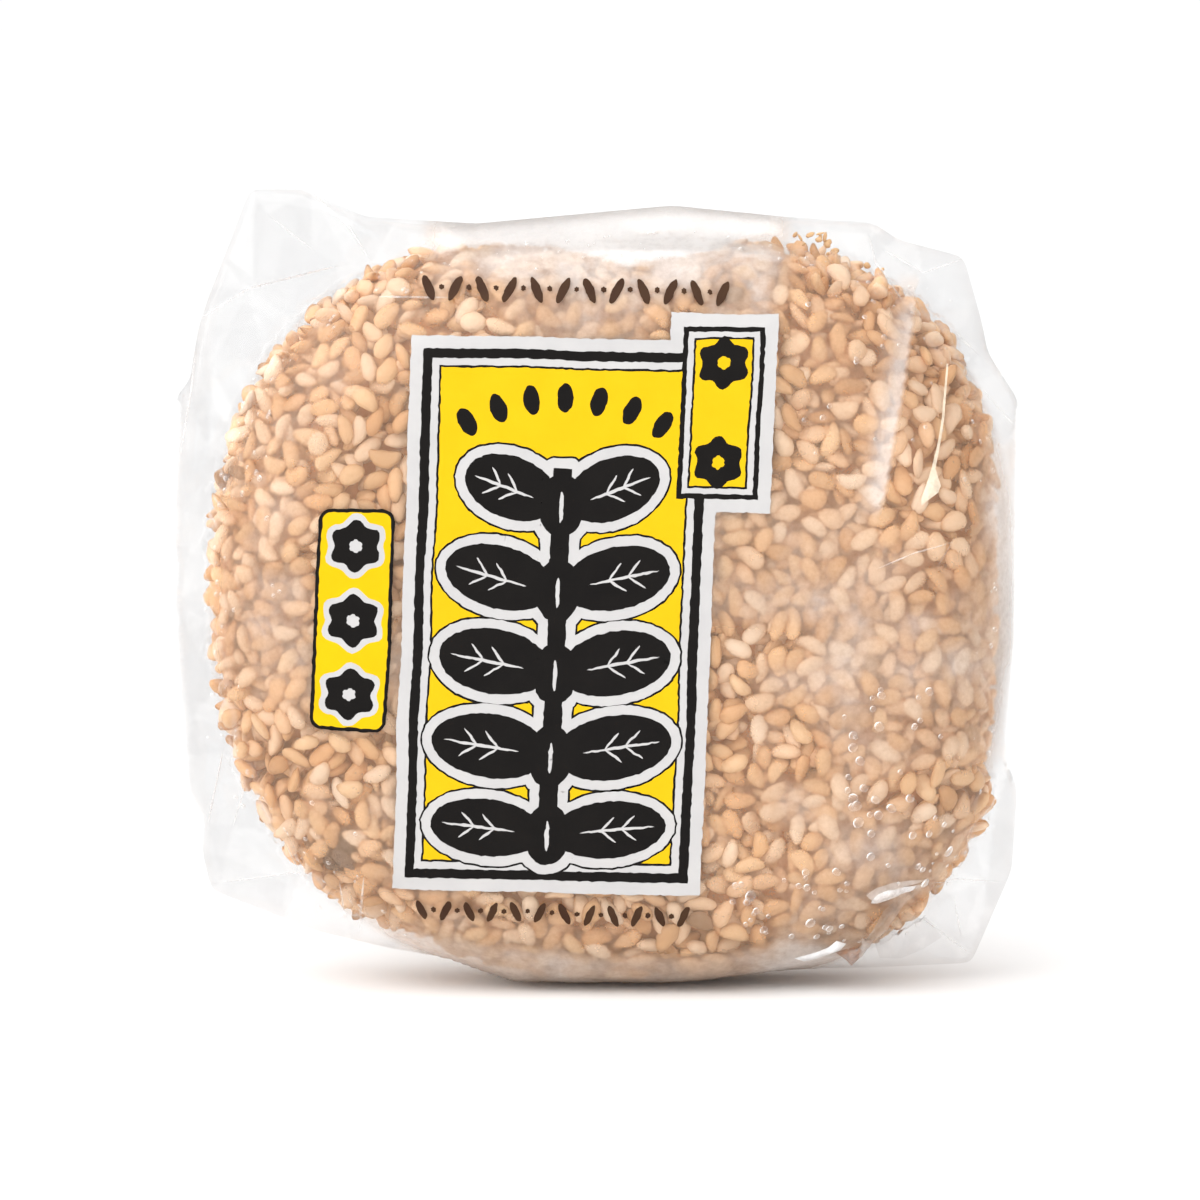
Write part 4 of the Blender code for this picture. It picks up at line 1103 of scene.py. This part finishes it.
def tucks(sheet, film):
    """Film doubled back on itself at the lower right, as clear as the rest or a little hazy."""
    parts, looks = [], []
    for outline, lift, haze in TUCKS:
        x, z, faces, inside = patch(outline, 0.35)
        wave = soft_noise(x + z, z - x, 1.6, 71) - 0.5
        raised = lift * smooth_step(0.0, 1.2, inside)
        height = film_height(x, z, sheet, -1)[0] + raised + 0.06 + wave * 0.5 * lift
        parts.append((np.stack((x, -height, z), 1), faces))
        # the tuck's tone follows its waves: painted shade
        looks.append(np.stack((np.full(len(x), haze), 0.4 + wave), 1))
    vertices, faces = joined(parts)
    fog, facet = np.concatenate(looks).T
    lie = film_lie(vertices[:, 0], vertices[:, 2], -1)
    looks = {"fog": fog, "blur": fog * 0.3, "facet": facet, "lie": lie}
    mesh_piece("film_tucks", vertices, faces, film, looks)


def folded_ends(sheet, film):
    """The film's two ends, gathered into pleats, folded over the back and sealed where they meet."""
    for name, side, lift in FILM_ENDS:
        along, up = np.linspace(0.0, 1.0, END_COLUMNS), np.linspace(-1.0, 1.0, END_ROWS)
        s, t = np.meshgrid(along, up, indexing="ij")
        from_middle = FOLD_HALF_WIDTH - s * (FOLD_HALF_WIDTH + SEAL_WIDTH / 2)
        part = np.clip(from_middle / FOLD_HALF_WIDTH, 0.0, 1.0)
        half = SEAL_HALF_HEIGHT + (FOLD_HALF_HEIGHT - SEAL_HALF_HEIGHT) * part
        x, z = (CAKE_X + side * from_middle).ravel(), (CAKE_Z + t * half).ravel()
        s, t, from_middle = s.ravel(), t.ravel(), from_middle.ravel()
        gather = np.clip(s * 1.6, 0.0, 1.0) * (1 - smooth_step(0.72, 0.86, s))
        wander = PLEAT_WANDER * (soft_noise(s * 9, t * 5, 1.0, 77) - 0.5)
        pleats = np.abs(np.sin(t * math.pi * PLEATS / 2 + wander))
        ribs = smooth_step(0.78, 0.82, s) * (1 - smooth_step(0.96, 0.98, s))
        hem = smooth_step(0.955, 0.985, np.maximum(np.abs(t), s))
        height = film_height(x, z, sheet, 1)[0] + lift * smooth_step(0.0, 0.25, s) + 0.05
        height = height + PLEAT_DEPTH * gather * (pleats - 0.4)
        height = height + RIB_DEPTH * ribs * np.sin(math.tau * from_middle / RIB_PITCH)
        faces = quads(END_COLUMNS, END_ROWS)
        if side > 0:
            faces = [face[::-1] for face in faces]
        fog = 0.07 + 0.30 * ribs * (0.4 + 0.6 * gather) + 0.30 * gather * pleats ** 3 + 0.3 * hem
        # tinted darker along the pleats' crests and the hem: painted shade and painted reflection of the
        # pleats
        facet = 0.2 + 0.9 * pleats * gather + 0.5 * hem
        looks = {"fog": fog, "blur": 0.02 + 0.2 * ribs, "facet": facet, "lie": film_lie(x, z, 1)}
        mesh_piece(name, np.stack((x, height, z), 1), faces, film, looks)


def crumbs():
    """Broken bits of seed, wet and brown, caught in the film past the cake's edge."""
    chance = np.random.default_rng(23)
    shape, faces, _, _ = seed_shape()
    parts = []
    for left, right, low, high, count in CRUMB_SPOTS:
        for _ in range(count):
            size = chance.uniform(*CRUMB_SIZES, 3) * CRUMB_SHAPE
            turn = chance.uniform(0, math.pi)
            lumps = 1 + CRUMB_LUMPS * (chance.random(len(shape)) - 0.5)
            x, y, z = (shape * size * lumps[:, None]).T
            x, z = x * math.cos(turn) - y * math.sin(turn), x * math.sin(turn) + y * math.cos(turn)
            at = np.array([chance.uniform(*span) for span in ((left, right), CRUMB_DEPTHS, (low, high))])
            parts.append((np.stack((x, shape[:, 2] * size[2], z), 1) + at, faces))
    vertices, faces = joined(parts)
    wet = seed_material("wet_sesame_crumb", "#F0CDA0", "#D8AA74", "#B98A58")
    looks = {"tone": np.full(len(vertices), 0.6), "tip": np.full(len(vertices), 0.2)}
    mesh_piece("sesame_crumbs", vertices, faces, wet, looks)


def beads(sheet):
    """Beads of water: small ones round the cake's edge, bigger ones where it is dampest."""
    chance = np.random.default_rng(14)
    angle = chance.uniform(-math.pi, math.pi, BEADS_AT_RIM)
    reach = chance.normal(1.0, RIM_BEAD_SPREAD, BEADS_AT_RIM) * cake_reach(angle)
    least, most = RIM_BEAD_SIZES
    size = least + (most - least) * chance.random(BEADS_AT_RIM) ** 2
    found = [np.stack((CAKE_X + reach * np.cos(angle), CAKE_Z + reach * np.sin(angle), size))]
    for left, right, low, high, count, least, most in BEAD_ZONES:
        found.append(np.stack((
            chance.uniform(left, right, count), chance.uniform(low, high, count),
            least + (most - least) * chance.random(count) ** 1.5,
        )))
    x, z, size = np.concatenate(found, 1)
    r, angle = polar(x, z)
    kept = (print_nearness(x, z) == 0) & (r < film_reach(angle)[0] - BEADS_FROM_EDGE) & (z > BEADS_ABOVE)
    x, z, size = x[kept], z[kept], size[kept]
    height = film_height(x, z, sheet, -1)[0]
    out = film_lie(x, z, -1)
    top = BEAD_RINGS * BEAD_SIDES
    faces = quads(BEAD_RINGS, BEAD_SIDES, True)
    faces += [(top - BEAD_SIDES + j, top - BEAD_SIDES + (j + 1) % BEAD_SIDES, top) for j in range(BEAD_SIDES)]
    parts, glints = [], []
    for n in range(len(x)):
        normal = Vector(out[n])
        across = (BEAD_PAINTED_HIGHLIGHT_SIDE - normal * BEAD_PAINTED_HIGHLIGHT_SIDE.dot(normal)).normalized()
        up = normal.cross(across)
        stretch, turned = chance.uniform(0.85, 1.2), chance.normal(0, 0.7)
        points = []
        for i in range(BEAD_RINGS):
            rise = math.pi / 2 * i / BEAD_RINGS
            for j in range(BEAD_SIDES):
                t = math.tau * j / BEAD_SIDES
                flat = across * math.cos(t) + up * math.sin(t) * stretch
                points.append((flat * math.cos(rise) + normal * math.sin(rise) * BEAD_RISE) * size[n])
                # a crescent of painted highlight on the ring next to the rim, toward the window
                glints.append(max(0.0, math.cos(t - turned)) ** 2.5 if i == 1 else 0.0)
        points.append(normal * size[n] * BEAD_RISE)
        glints.append(0.0)
        at = np.array((x[n], -height[n] - 0.02, z[n]))
        parts.append((np.array([tuple(p) for p in points]) + at, faces))
    vertices, faces = joined(parts)
    mesh_piece("water_beads", vertices, faces, water_material(), {"painted_glint": glints})


# The print


def on_pack(u, v):
    """x, z of a place in the print's own frame."""
    x = PRINT_ORIGIN[0] + u * math.cos(PRINT_SLOPE) + v * math.sin(PRINT_LEAN)
    z = PRINT_ORIGIN[1] - u * math.sin(PRINT_SLOPE) + v * math.cos(PRINT_LEAN)
    return x, z


def print_nearness(x, z):
    """1 under the print, falling to 0 a little way off it."""
    a, b = x - PRINT_ORIGIN[0], z - PRINT_ORIGIN[1]
    slope = math.tan(PRINT_SLOPE)
    v = (b + a * slope) / (math.cos(PRINT_LEAN) + math.sin(PRINT_LEAN) * slope)
    u = (a - v * math.sin(PRINT_LEAN)) / math.cos(PRINT_SLOPE)
    near = np.zeros_like(x)
    for left, bottom, width, height in (LABEL, BADGE, TAB):
        across = np.abs(u - left - width / 2) - width / 2
        up = np.abs(v - bottom - height / 2) - height / 2
        near = np.maximum(near, 1 - smooth_step(*PRINT_NEAR, np.maximum(across, up)))
    return near


def box_loop(box, inset=0.0, corner=0.0, corner_points=6):
    """The outline of a box of the print, set in by inset, with round corners where corner is given."""
    u, v, width, height = box
    left, right = u + inset, u + width - inset
    low, high = v + inset, v + height - inset
    radius = max(corner - inset, 0.0)
    loop = []
    for i, (cu, cv) in enumerate(((right, high), (left, high), (left, low), (right, low))):
        cu += radius if cu == left else -radius
        cv += radius if cv == low else -radius
        for j in range(corner_points if radius else 1):
            angle = math.pi / 2 * (i + j / max(corner_points - 1, 1))
            loop.append((cu + radius * math.cos(angle), cv + radius * math.sin(angle)))
    return loop


def leaf_loop(u, v, length, width, degrees, grow=0.0, points=28):
    """A leaf from its stalk end at u, v, pointing the given way, made bigger all round by grow."""
    turn = math.radians(degrees)
    loop = []
    for i in range(points):
        t = math.tau * i / points
        along = length / 2 * (1 - math.cos(t)) + grow * -math.cos(t)
        across = -(width / 2 + grow) * math.sin(t)
        loop.append((
            u + along * math.cos(turn) - across * math.sin(turn),
            v + along * math.sin(turn) + across * math.cos(turn),
        ))
    return loop


def bloom_loop(u, v, radius, grow=0.0, points=48):
    """A flower of round petals about u, v."""
    loop = []
    for i in range(points):
        t = math.tau * i / points
        r = radius * (1 + BLOOM_WAVE * math.cos(BLOOM_PETALS * (t - math.pi / 2))) + grow
        loop.append((u + r * math.cos(t), v + r * math.sin(t)))
    return loop


def blooms(box, count, radius=BLOOM_RADIUS, grow=0.0, points=48):
    """Flowers, or their round middles, spread evenly up a box of the print."""
    u, v, width, height = box
    rows = [v + height * (i + 0.5) / count for i in range(count)]
    return [bloom_loop(u + width / 2, row, radius, grow, points) for row in rows]


def plant_loops(grow=0.0):
    """The outlines of the stalk, the leaves and the pods, which overlap."""
    half = STALK_WIDTH / 2
    loops = [box_loop((STALK_U - half, STALK_BOTTOM, STALK_WIDTH, STALK_TOP - STALK_BOTTOM), -grow)]
    for v, length, width, droop in LEAF_ROWS:
        loops.append(leaf_loop(STALK_U + half / 2, v, length, width, -droop, grow))
        loops.append(leaf_loop(STALK_U - half / 2, v, length, width, 180 + droop, grow))
        loops.append(leaf_loop(STALK_U, v - POD_LENGTH / 2, POD_LENGTH, POD_WIDTH, 90, grow))
    return loops


def plant_veins():
    """A fine rib and side veins in each leaf, and a slit in each pod."""
    loops = []
    for v, length, width, droop in LEAF_ROWS:
        for root, turn in ((STALK_U + STALK_WIDTH / 2, -droop), (STALK_U - STALK_WIDTH / 2, 180 + droop)):
            across, up = math.cos(math.radians(turn)) * length, math.sin(math.radians(turn)) * length
            at = [(root + across * part, v + up * part) for part in VEIN_PLACES]
            loops.append(leaf_loop(*at[0], length * RIB_SIZE[0], RIB_SIZE[1], turn, points=16))
            for place in at[1:]:
                for way in (turn - VEIN_LEAN, turn + VEIN_LEAN):
                    loops.append(leaf_loop(*place, width * VEIN_SIZE[0], VEIN_SIZE[1], way, points=12))
        slit = POD_LENGTH * SLIT_SIZE[0]
        loops.append(leaf_loop(STALK_U, v - POD_LENGTH * 0.28, slit, SLIT_SIZE[1], 90, points=16))
    return loops


def outlined(loops_at):
    """The layers of a black motif with a white outline and a thin black line round that."""
    grown = (("black", MOTIF_OUTLINE + MOTIF_KEYLINE), ("white", MOTIF_OUTLINE), ("black", 0.0))
    return [(ink, loops_at(grow)) for ink, grow in grown]


def label_arch():
    """Seeds fanned out above the plant."""
    loops = []
    for i in range(ARCH_SEEDS):
        degrees = 90 - (i - (ARCH_SEEDS - 1) / 2) * ARCH_TURN
        across, up = math.cos(math.radians(degrees)), math.sin(math.radians(degrees))
        foot = (ARCH_MIDDLE[0] + ARCH_RADIUS * across, ARCH_MIDDLE[1] + ARCH_RADIUS * up)
        loops.append(leaf_loop(*foot, *ARCH_SEED, degrees))
    return loops


def seed_row(u, v, step, count, length):
    """A row of small seeds that lean left and right in turn, with a dot between each two."""
    loops = []
    for i in range(count):
        lean = math.radians(ROW_LEAN if i % 2 else -ROW_LEAN)
        foot = (u + i * step - math.sin(lean) * length / 2, v)
        loops.append(leaf_loop(*foot, length, length * ROW_SLIM, 90 - math.degrees(lean)))
        if i < count - 1:
            loops.append(bloom_loop(u + (i + 0.5) * step, v + length / 2, ROW_DOT, points=12))
    return loops


def print_layers():
    """What is printed, from the lowest to the highest: ink and outlines."""
    layers = [("line", [loop for row in SEED_ROWS for loop in seed_row(*row)])]
    layers += [("white", [box_loop(BADGE)])]
    layers += [(ink, [box_loop(LABEL, inset)]) for ink, inset in LABEL_LINES]
    layers += outlined(plant_loops) + [("white", plant_veins()), ("black", label_arch())]
    layers += [(ink, [box_loop(BADGE, inset)]) for ink, inset in BADGE_LINES]
    layers += [("black", blooms(BADGE, BADGE_BLOOMS))]
    layers += [("yellow", blooms(BADGE, BADGE_BLOOMS, BLOOM_EYE, points=18))]
    layers += [(ink, [box_loop(TAB, inset, TAB_CORNER)]) for ink, inset in TAB_LINES]
    layers += [("white", blooms(TAB, TAB_BLOOMS, grow=BLOOM_HALO)), ("black", blooms(TAB, TAB_BLOOMS))]
    return layers + [("white", blooms(TAB, TAB_BLOOMS, BLOOM_EYE, points=18))]


def print_net(layers):
    """One net of triangles under all the print, and the ink that each triangle shows."""
    points, rings, inks = [], [], []
    for ink, loops in layers:
        for loop in loops:
            loop = [on_pack(*p) for p in divided(loop, PRINT_STEP)]
            rings.append(list(range(len(points), len(points) + len(loop))))
            inks.append(ink)
            points += loop
    for box in (LABEL, BADGE, TAB):
        u, v, width, height = box
        for i in range(1, math.ceil(width / PRINT_GRID)):
            for j in range(1, math.ceil(height / PRINT_GRID)):
                points.append(on_pack(u + (i + 0.13 * (j % 2)) * PRINT_GRID, v + (j + 0.11) * PRINT_GRID))
    flat, _, faces, _, _, owners = delaunay_2d_cdt([Vector(p) for p in points], [], rings, 0, 1e-4, True)
    shown = [inks[max(owner)] if owner else None for owner in owners]
    return np.array([tuple(p) for p in flat]), faces, shown


def strays(x, z, seed):
    """How far the print's edges stray at x, z: a fine tremble and a slow drift."""
    waves = enumerate((PRINT_TREMBLE, PRINT_DRIFT))
    return sum(far * (soft_noise(x, z, long, seed + n) - 0.5) for n, (far, long) in waves)


def printed_inks(sheet):
    """One mesh for each ink, all cut from one net, so that they meet without a gap."""
    flat, faces, shown = print_net(print_layers())
    x, z = flat.T
    x = x + strays(x, z, 61)
    z = z + strays(x, z, 63)
    height = np.maximum(film_depth(x, z) + PRINT_CLEAR, film_height(x, z, sheet, -1)[0] + PRINT_REST)
    vertices = np.stack((x, -height, z), 1)
    for ink, (name, colour, faded, roughness, slot, nodes) in INKS.items():
        points, ours = only_used(vertices, [face for face, look in zip(faces, shown) if look == ink])
        mesh_piece(name, points, ours, ink_material(name, colour, faded, roughness), None, nodes)


# The studio


def floor_piece():
    """A sheet of matt white paper, painted darker in a strip behind the pack as painted shade."""
    corners = [(a * FLOOR_HALF, b * FLOOR_HALF, 0) for a, b in ((-1, -1), (1, -1), (1, 1), (-1, 1))]
    mesh = bpy.data.meshes.new("floor")
    mesh.from_pydata(corners, [], [(0, 1, 2, 3)])
    material, tree = new_material("matt_white_paper_painted_shade_strip")
    place = add(tree, "TexCoord", out="Object")
    across, back = (add(tree, "SeparateXYZ", {0: place}, axis) for axis in ("X", "Y"))
    away = add(tree, "Math", {0: back, 1: CAMERA_DISTANCE * MM}, operation="ADD")
    aside = add(tree, "Math", {0: across, 1: away}, operation="DIVIDE")
    aside = add(tree, "Math", {0: aside}, operation="ABSOLUTE")
    behind = add(tree, "MapRange", {
        "Value": back, "From Min": PAINTED_SHADE_STARTS[0], "From Max": PAINTED_SHADE_STARTS[1],
    }, interpolation_type="SMOOTHSTEP")
    within = add(tree, "MapRange", {
        "Value": aside, "From Min": PAINTED_SHADE_ENDS[0], "From Max": PAINTED_SHADE_ENDS[1], "To Min": 1.0, "To Max": 0.0,
    }, interpolation_type="SMOOTHSTEP")
    # painted shade: darker behind the pack, within its width as the camera sees it
    painted_shade_strip = add(tree, "Math", {0: behind, 1: within}, operation="MULTIPLY")
    shade = add(tree, "MapRange", {"Value": painted_shade_strip, "To Min": FLOOR_WHITE, "To Max": PAINTED_SHADE_WHITE})
    paper = add(tree, "BsdfPrincipled", {"Base Color": shade, "Roughness": 1.0, "Specular IOR Level": 0.0})
    add(tree, "OutputMaterial", {"Surface": paper})
    mesh.materials.append(material)
    floor = bpy.data.objects.new("floor", mesh)
    bpy.context.scene.collection.objects.link(floor)


def lights():
    """An even glow with soft boxes in it, and a soft window from the upper left."""
    world = bpy.data.worlds.new("studio")
    bpy.context.scene.world = world
    world.use_nodes = True
    tree = world.node_tree
    tree.nodes.clear()
    way = add(tree, "TexCoord", out="Generated")
    glow = SKY_BASE
    for toward, amount, low, high in SOFT_BOXES:
        toward = Vector(toward).normalized()
        along = add(tree, "VectorMath", {0: way, 1: toward}, "Value", operation="DOT_PRODUCT")
        lit = add(tree, "MapRange", {
            "Value": along, "From Min": low, "From Max": high, "To Min": 0.0, "To Max": amount,
        }, interpolation_type="SMOOTHSTEP")
        glow = add(tree, "Math", {0: lit, 1: glow}, operation="ADD")
    level = add(tree, "Mix", {0: add(tree, "LightPath", out="Is Camera Ray"), 2: glow, 3: SKY_SEEN})
    sky = add(tree, "Background", {"Color": (1.0, 1.0, 1.0, 1.0), "Strength": level})
    add(tree, "OutputWorld", {"Surface": sky})

    lamp = bpy.data.lights.new("window", "SUN")
    lamp.energy, lamp.angle = WINDOW_STRENGTH, math.radians(WINDOW_SPREAD)
    window = bpy.data.objects.new("window", lamp)
    window.visible_glossy = False
    window.rotation_euler = WINDOW_SIDE.to_track_quat("Z", "Y").to_euler()
    bpy.context.scene.collection.objects.link(window)


def camera():
    """The photograph's view: a long lens from the front and a little above."""
    lens = bpy.data.cameras.new("camera")
    lens.lens, lens.sensor_width = CAMERA_LENS, SENSOR_WIDTH
    lens.clip_start, lens.clip_end = NEAREST_SEEN, FARTHEST_SEEN
    seen_from = bpy.data.objects.new("camera", lens)
    rise = math.radians(CAMERA_ELEVATION)
    back = Vector((0.0, -math.cos(rise), math.sin(rise)))
    seen_from.location = (TARGET + back * CAMERA_DISTANCE) * MM
    seen_from.rotation_euler = back.to_track_quat("Z", "Y").to_euler()
    bpy.context.scene.collection.objects.link(seen_from)
    bpy.context.scene.camera = seen_from


def main():
    bpy.context.scene.view_settings.view_transform = "Standard"
    floor_piece()
    lights()
    camera()
    core()
    points = sesame_seeds(lay_seeds())
    outline = film_outline()
    net, faces = film_sheet_mesh(outline)
    film = film_material()
    for name, facing in (("film_front", -1), ("film_back", 1)):
        low, tops = seed_tops(points, facing)
        sheet = (low, tops, membrane(low, tops))
        film_side(name, net, faces, len(outline), sheet, facing, film)
        if facing < 0:
            creases(sheet)
            face_folds(sheet)
            tucks(sheet, film)
            beads(sheet)
            printed_inks(sheet)
        else:
            folded_ends(sheet, film)
    crumbs()


main()
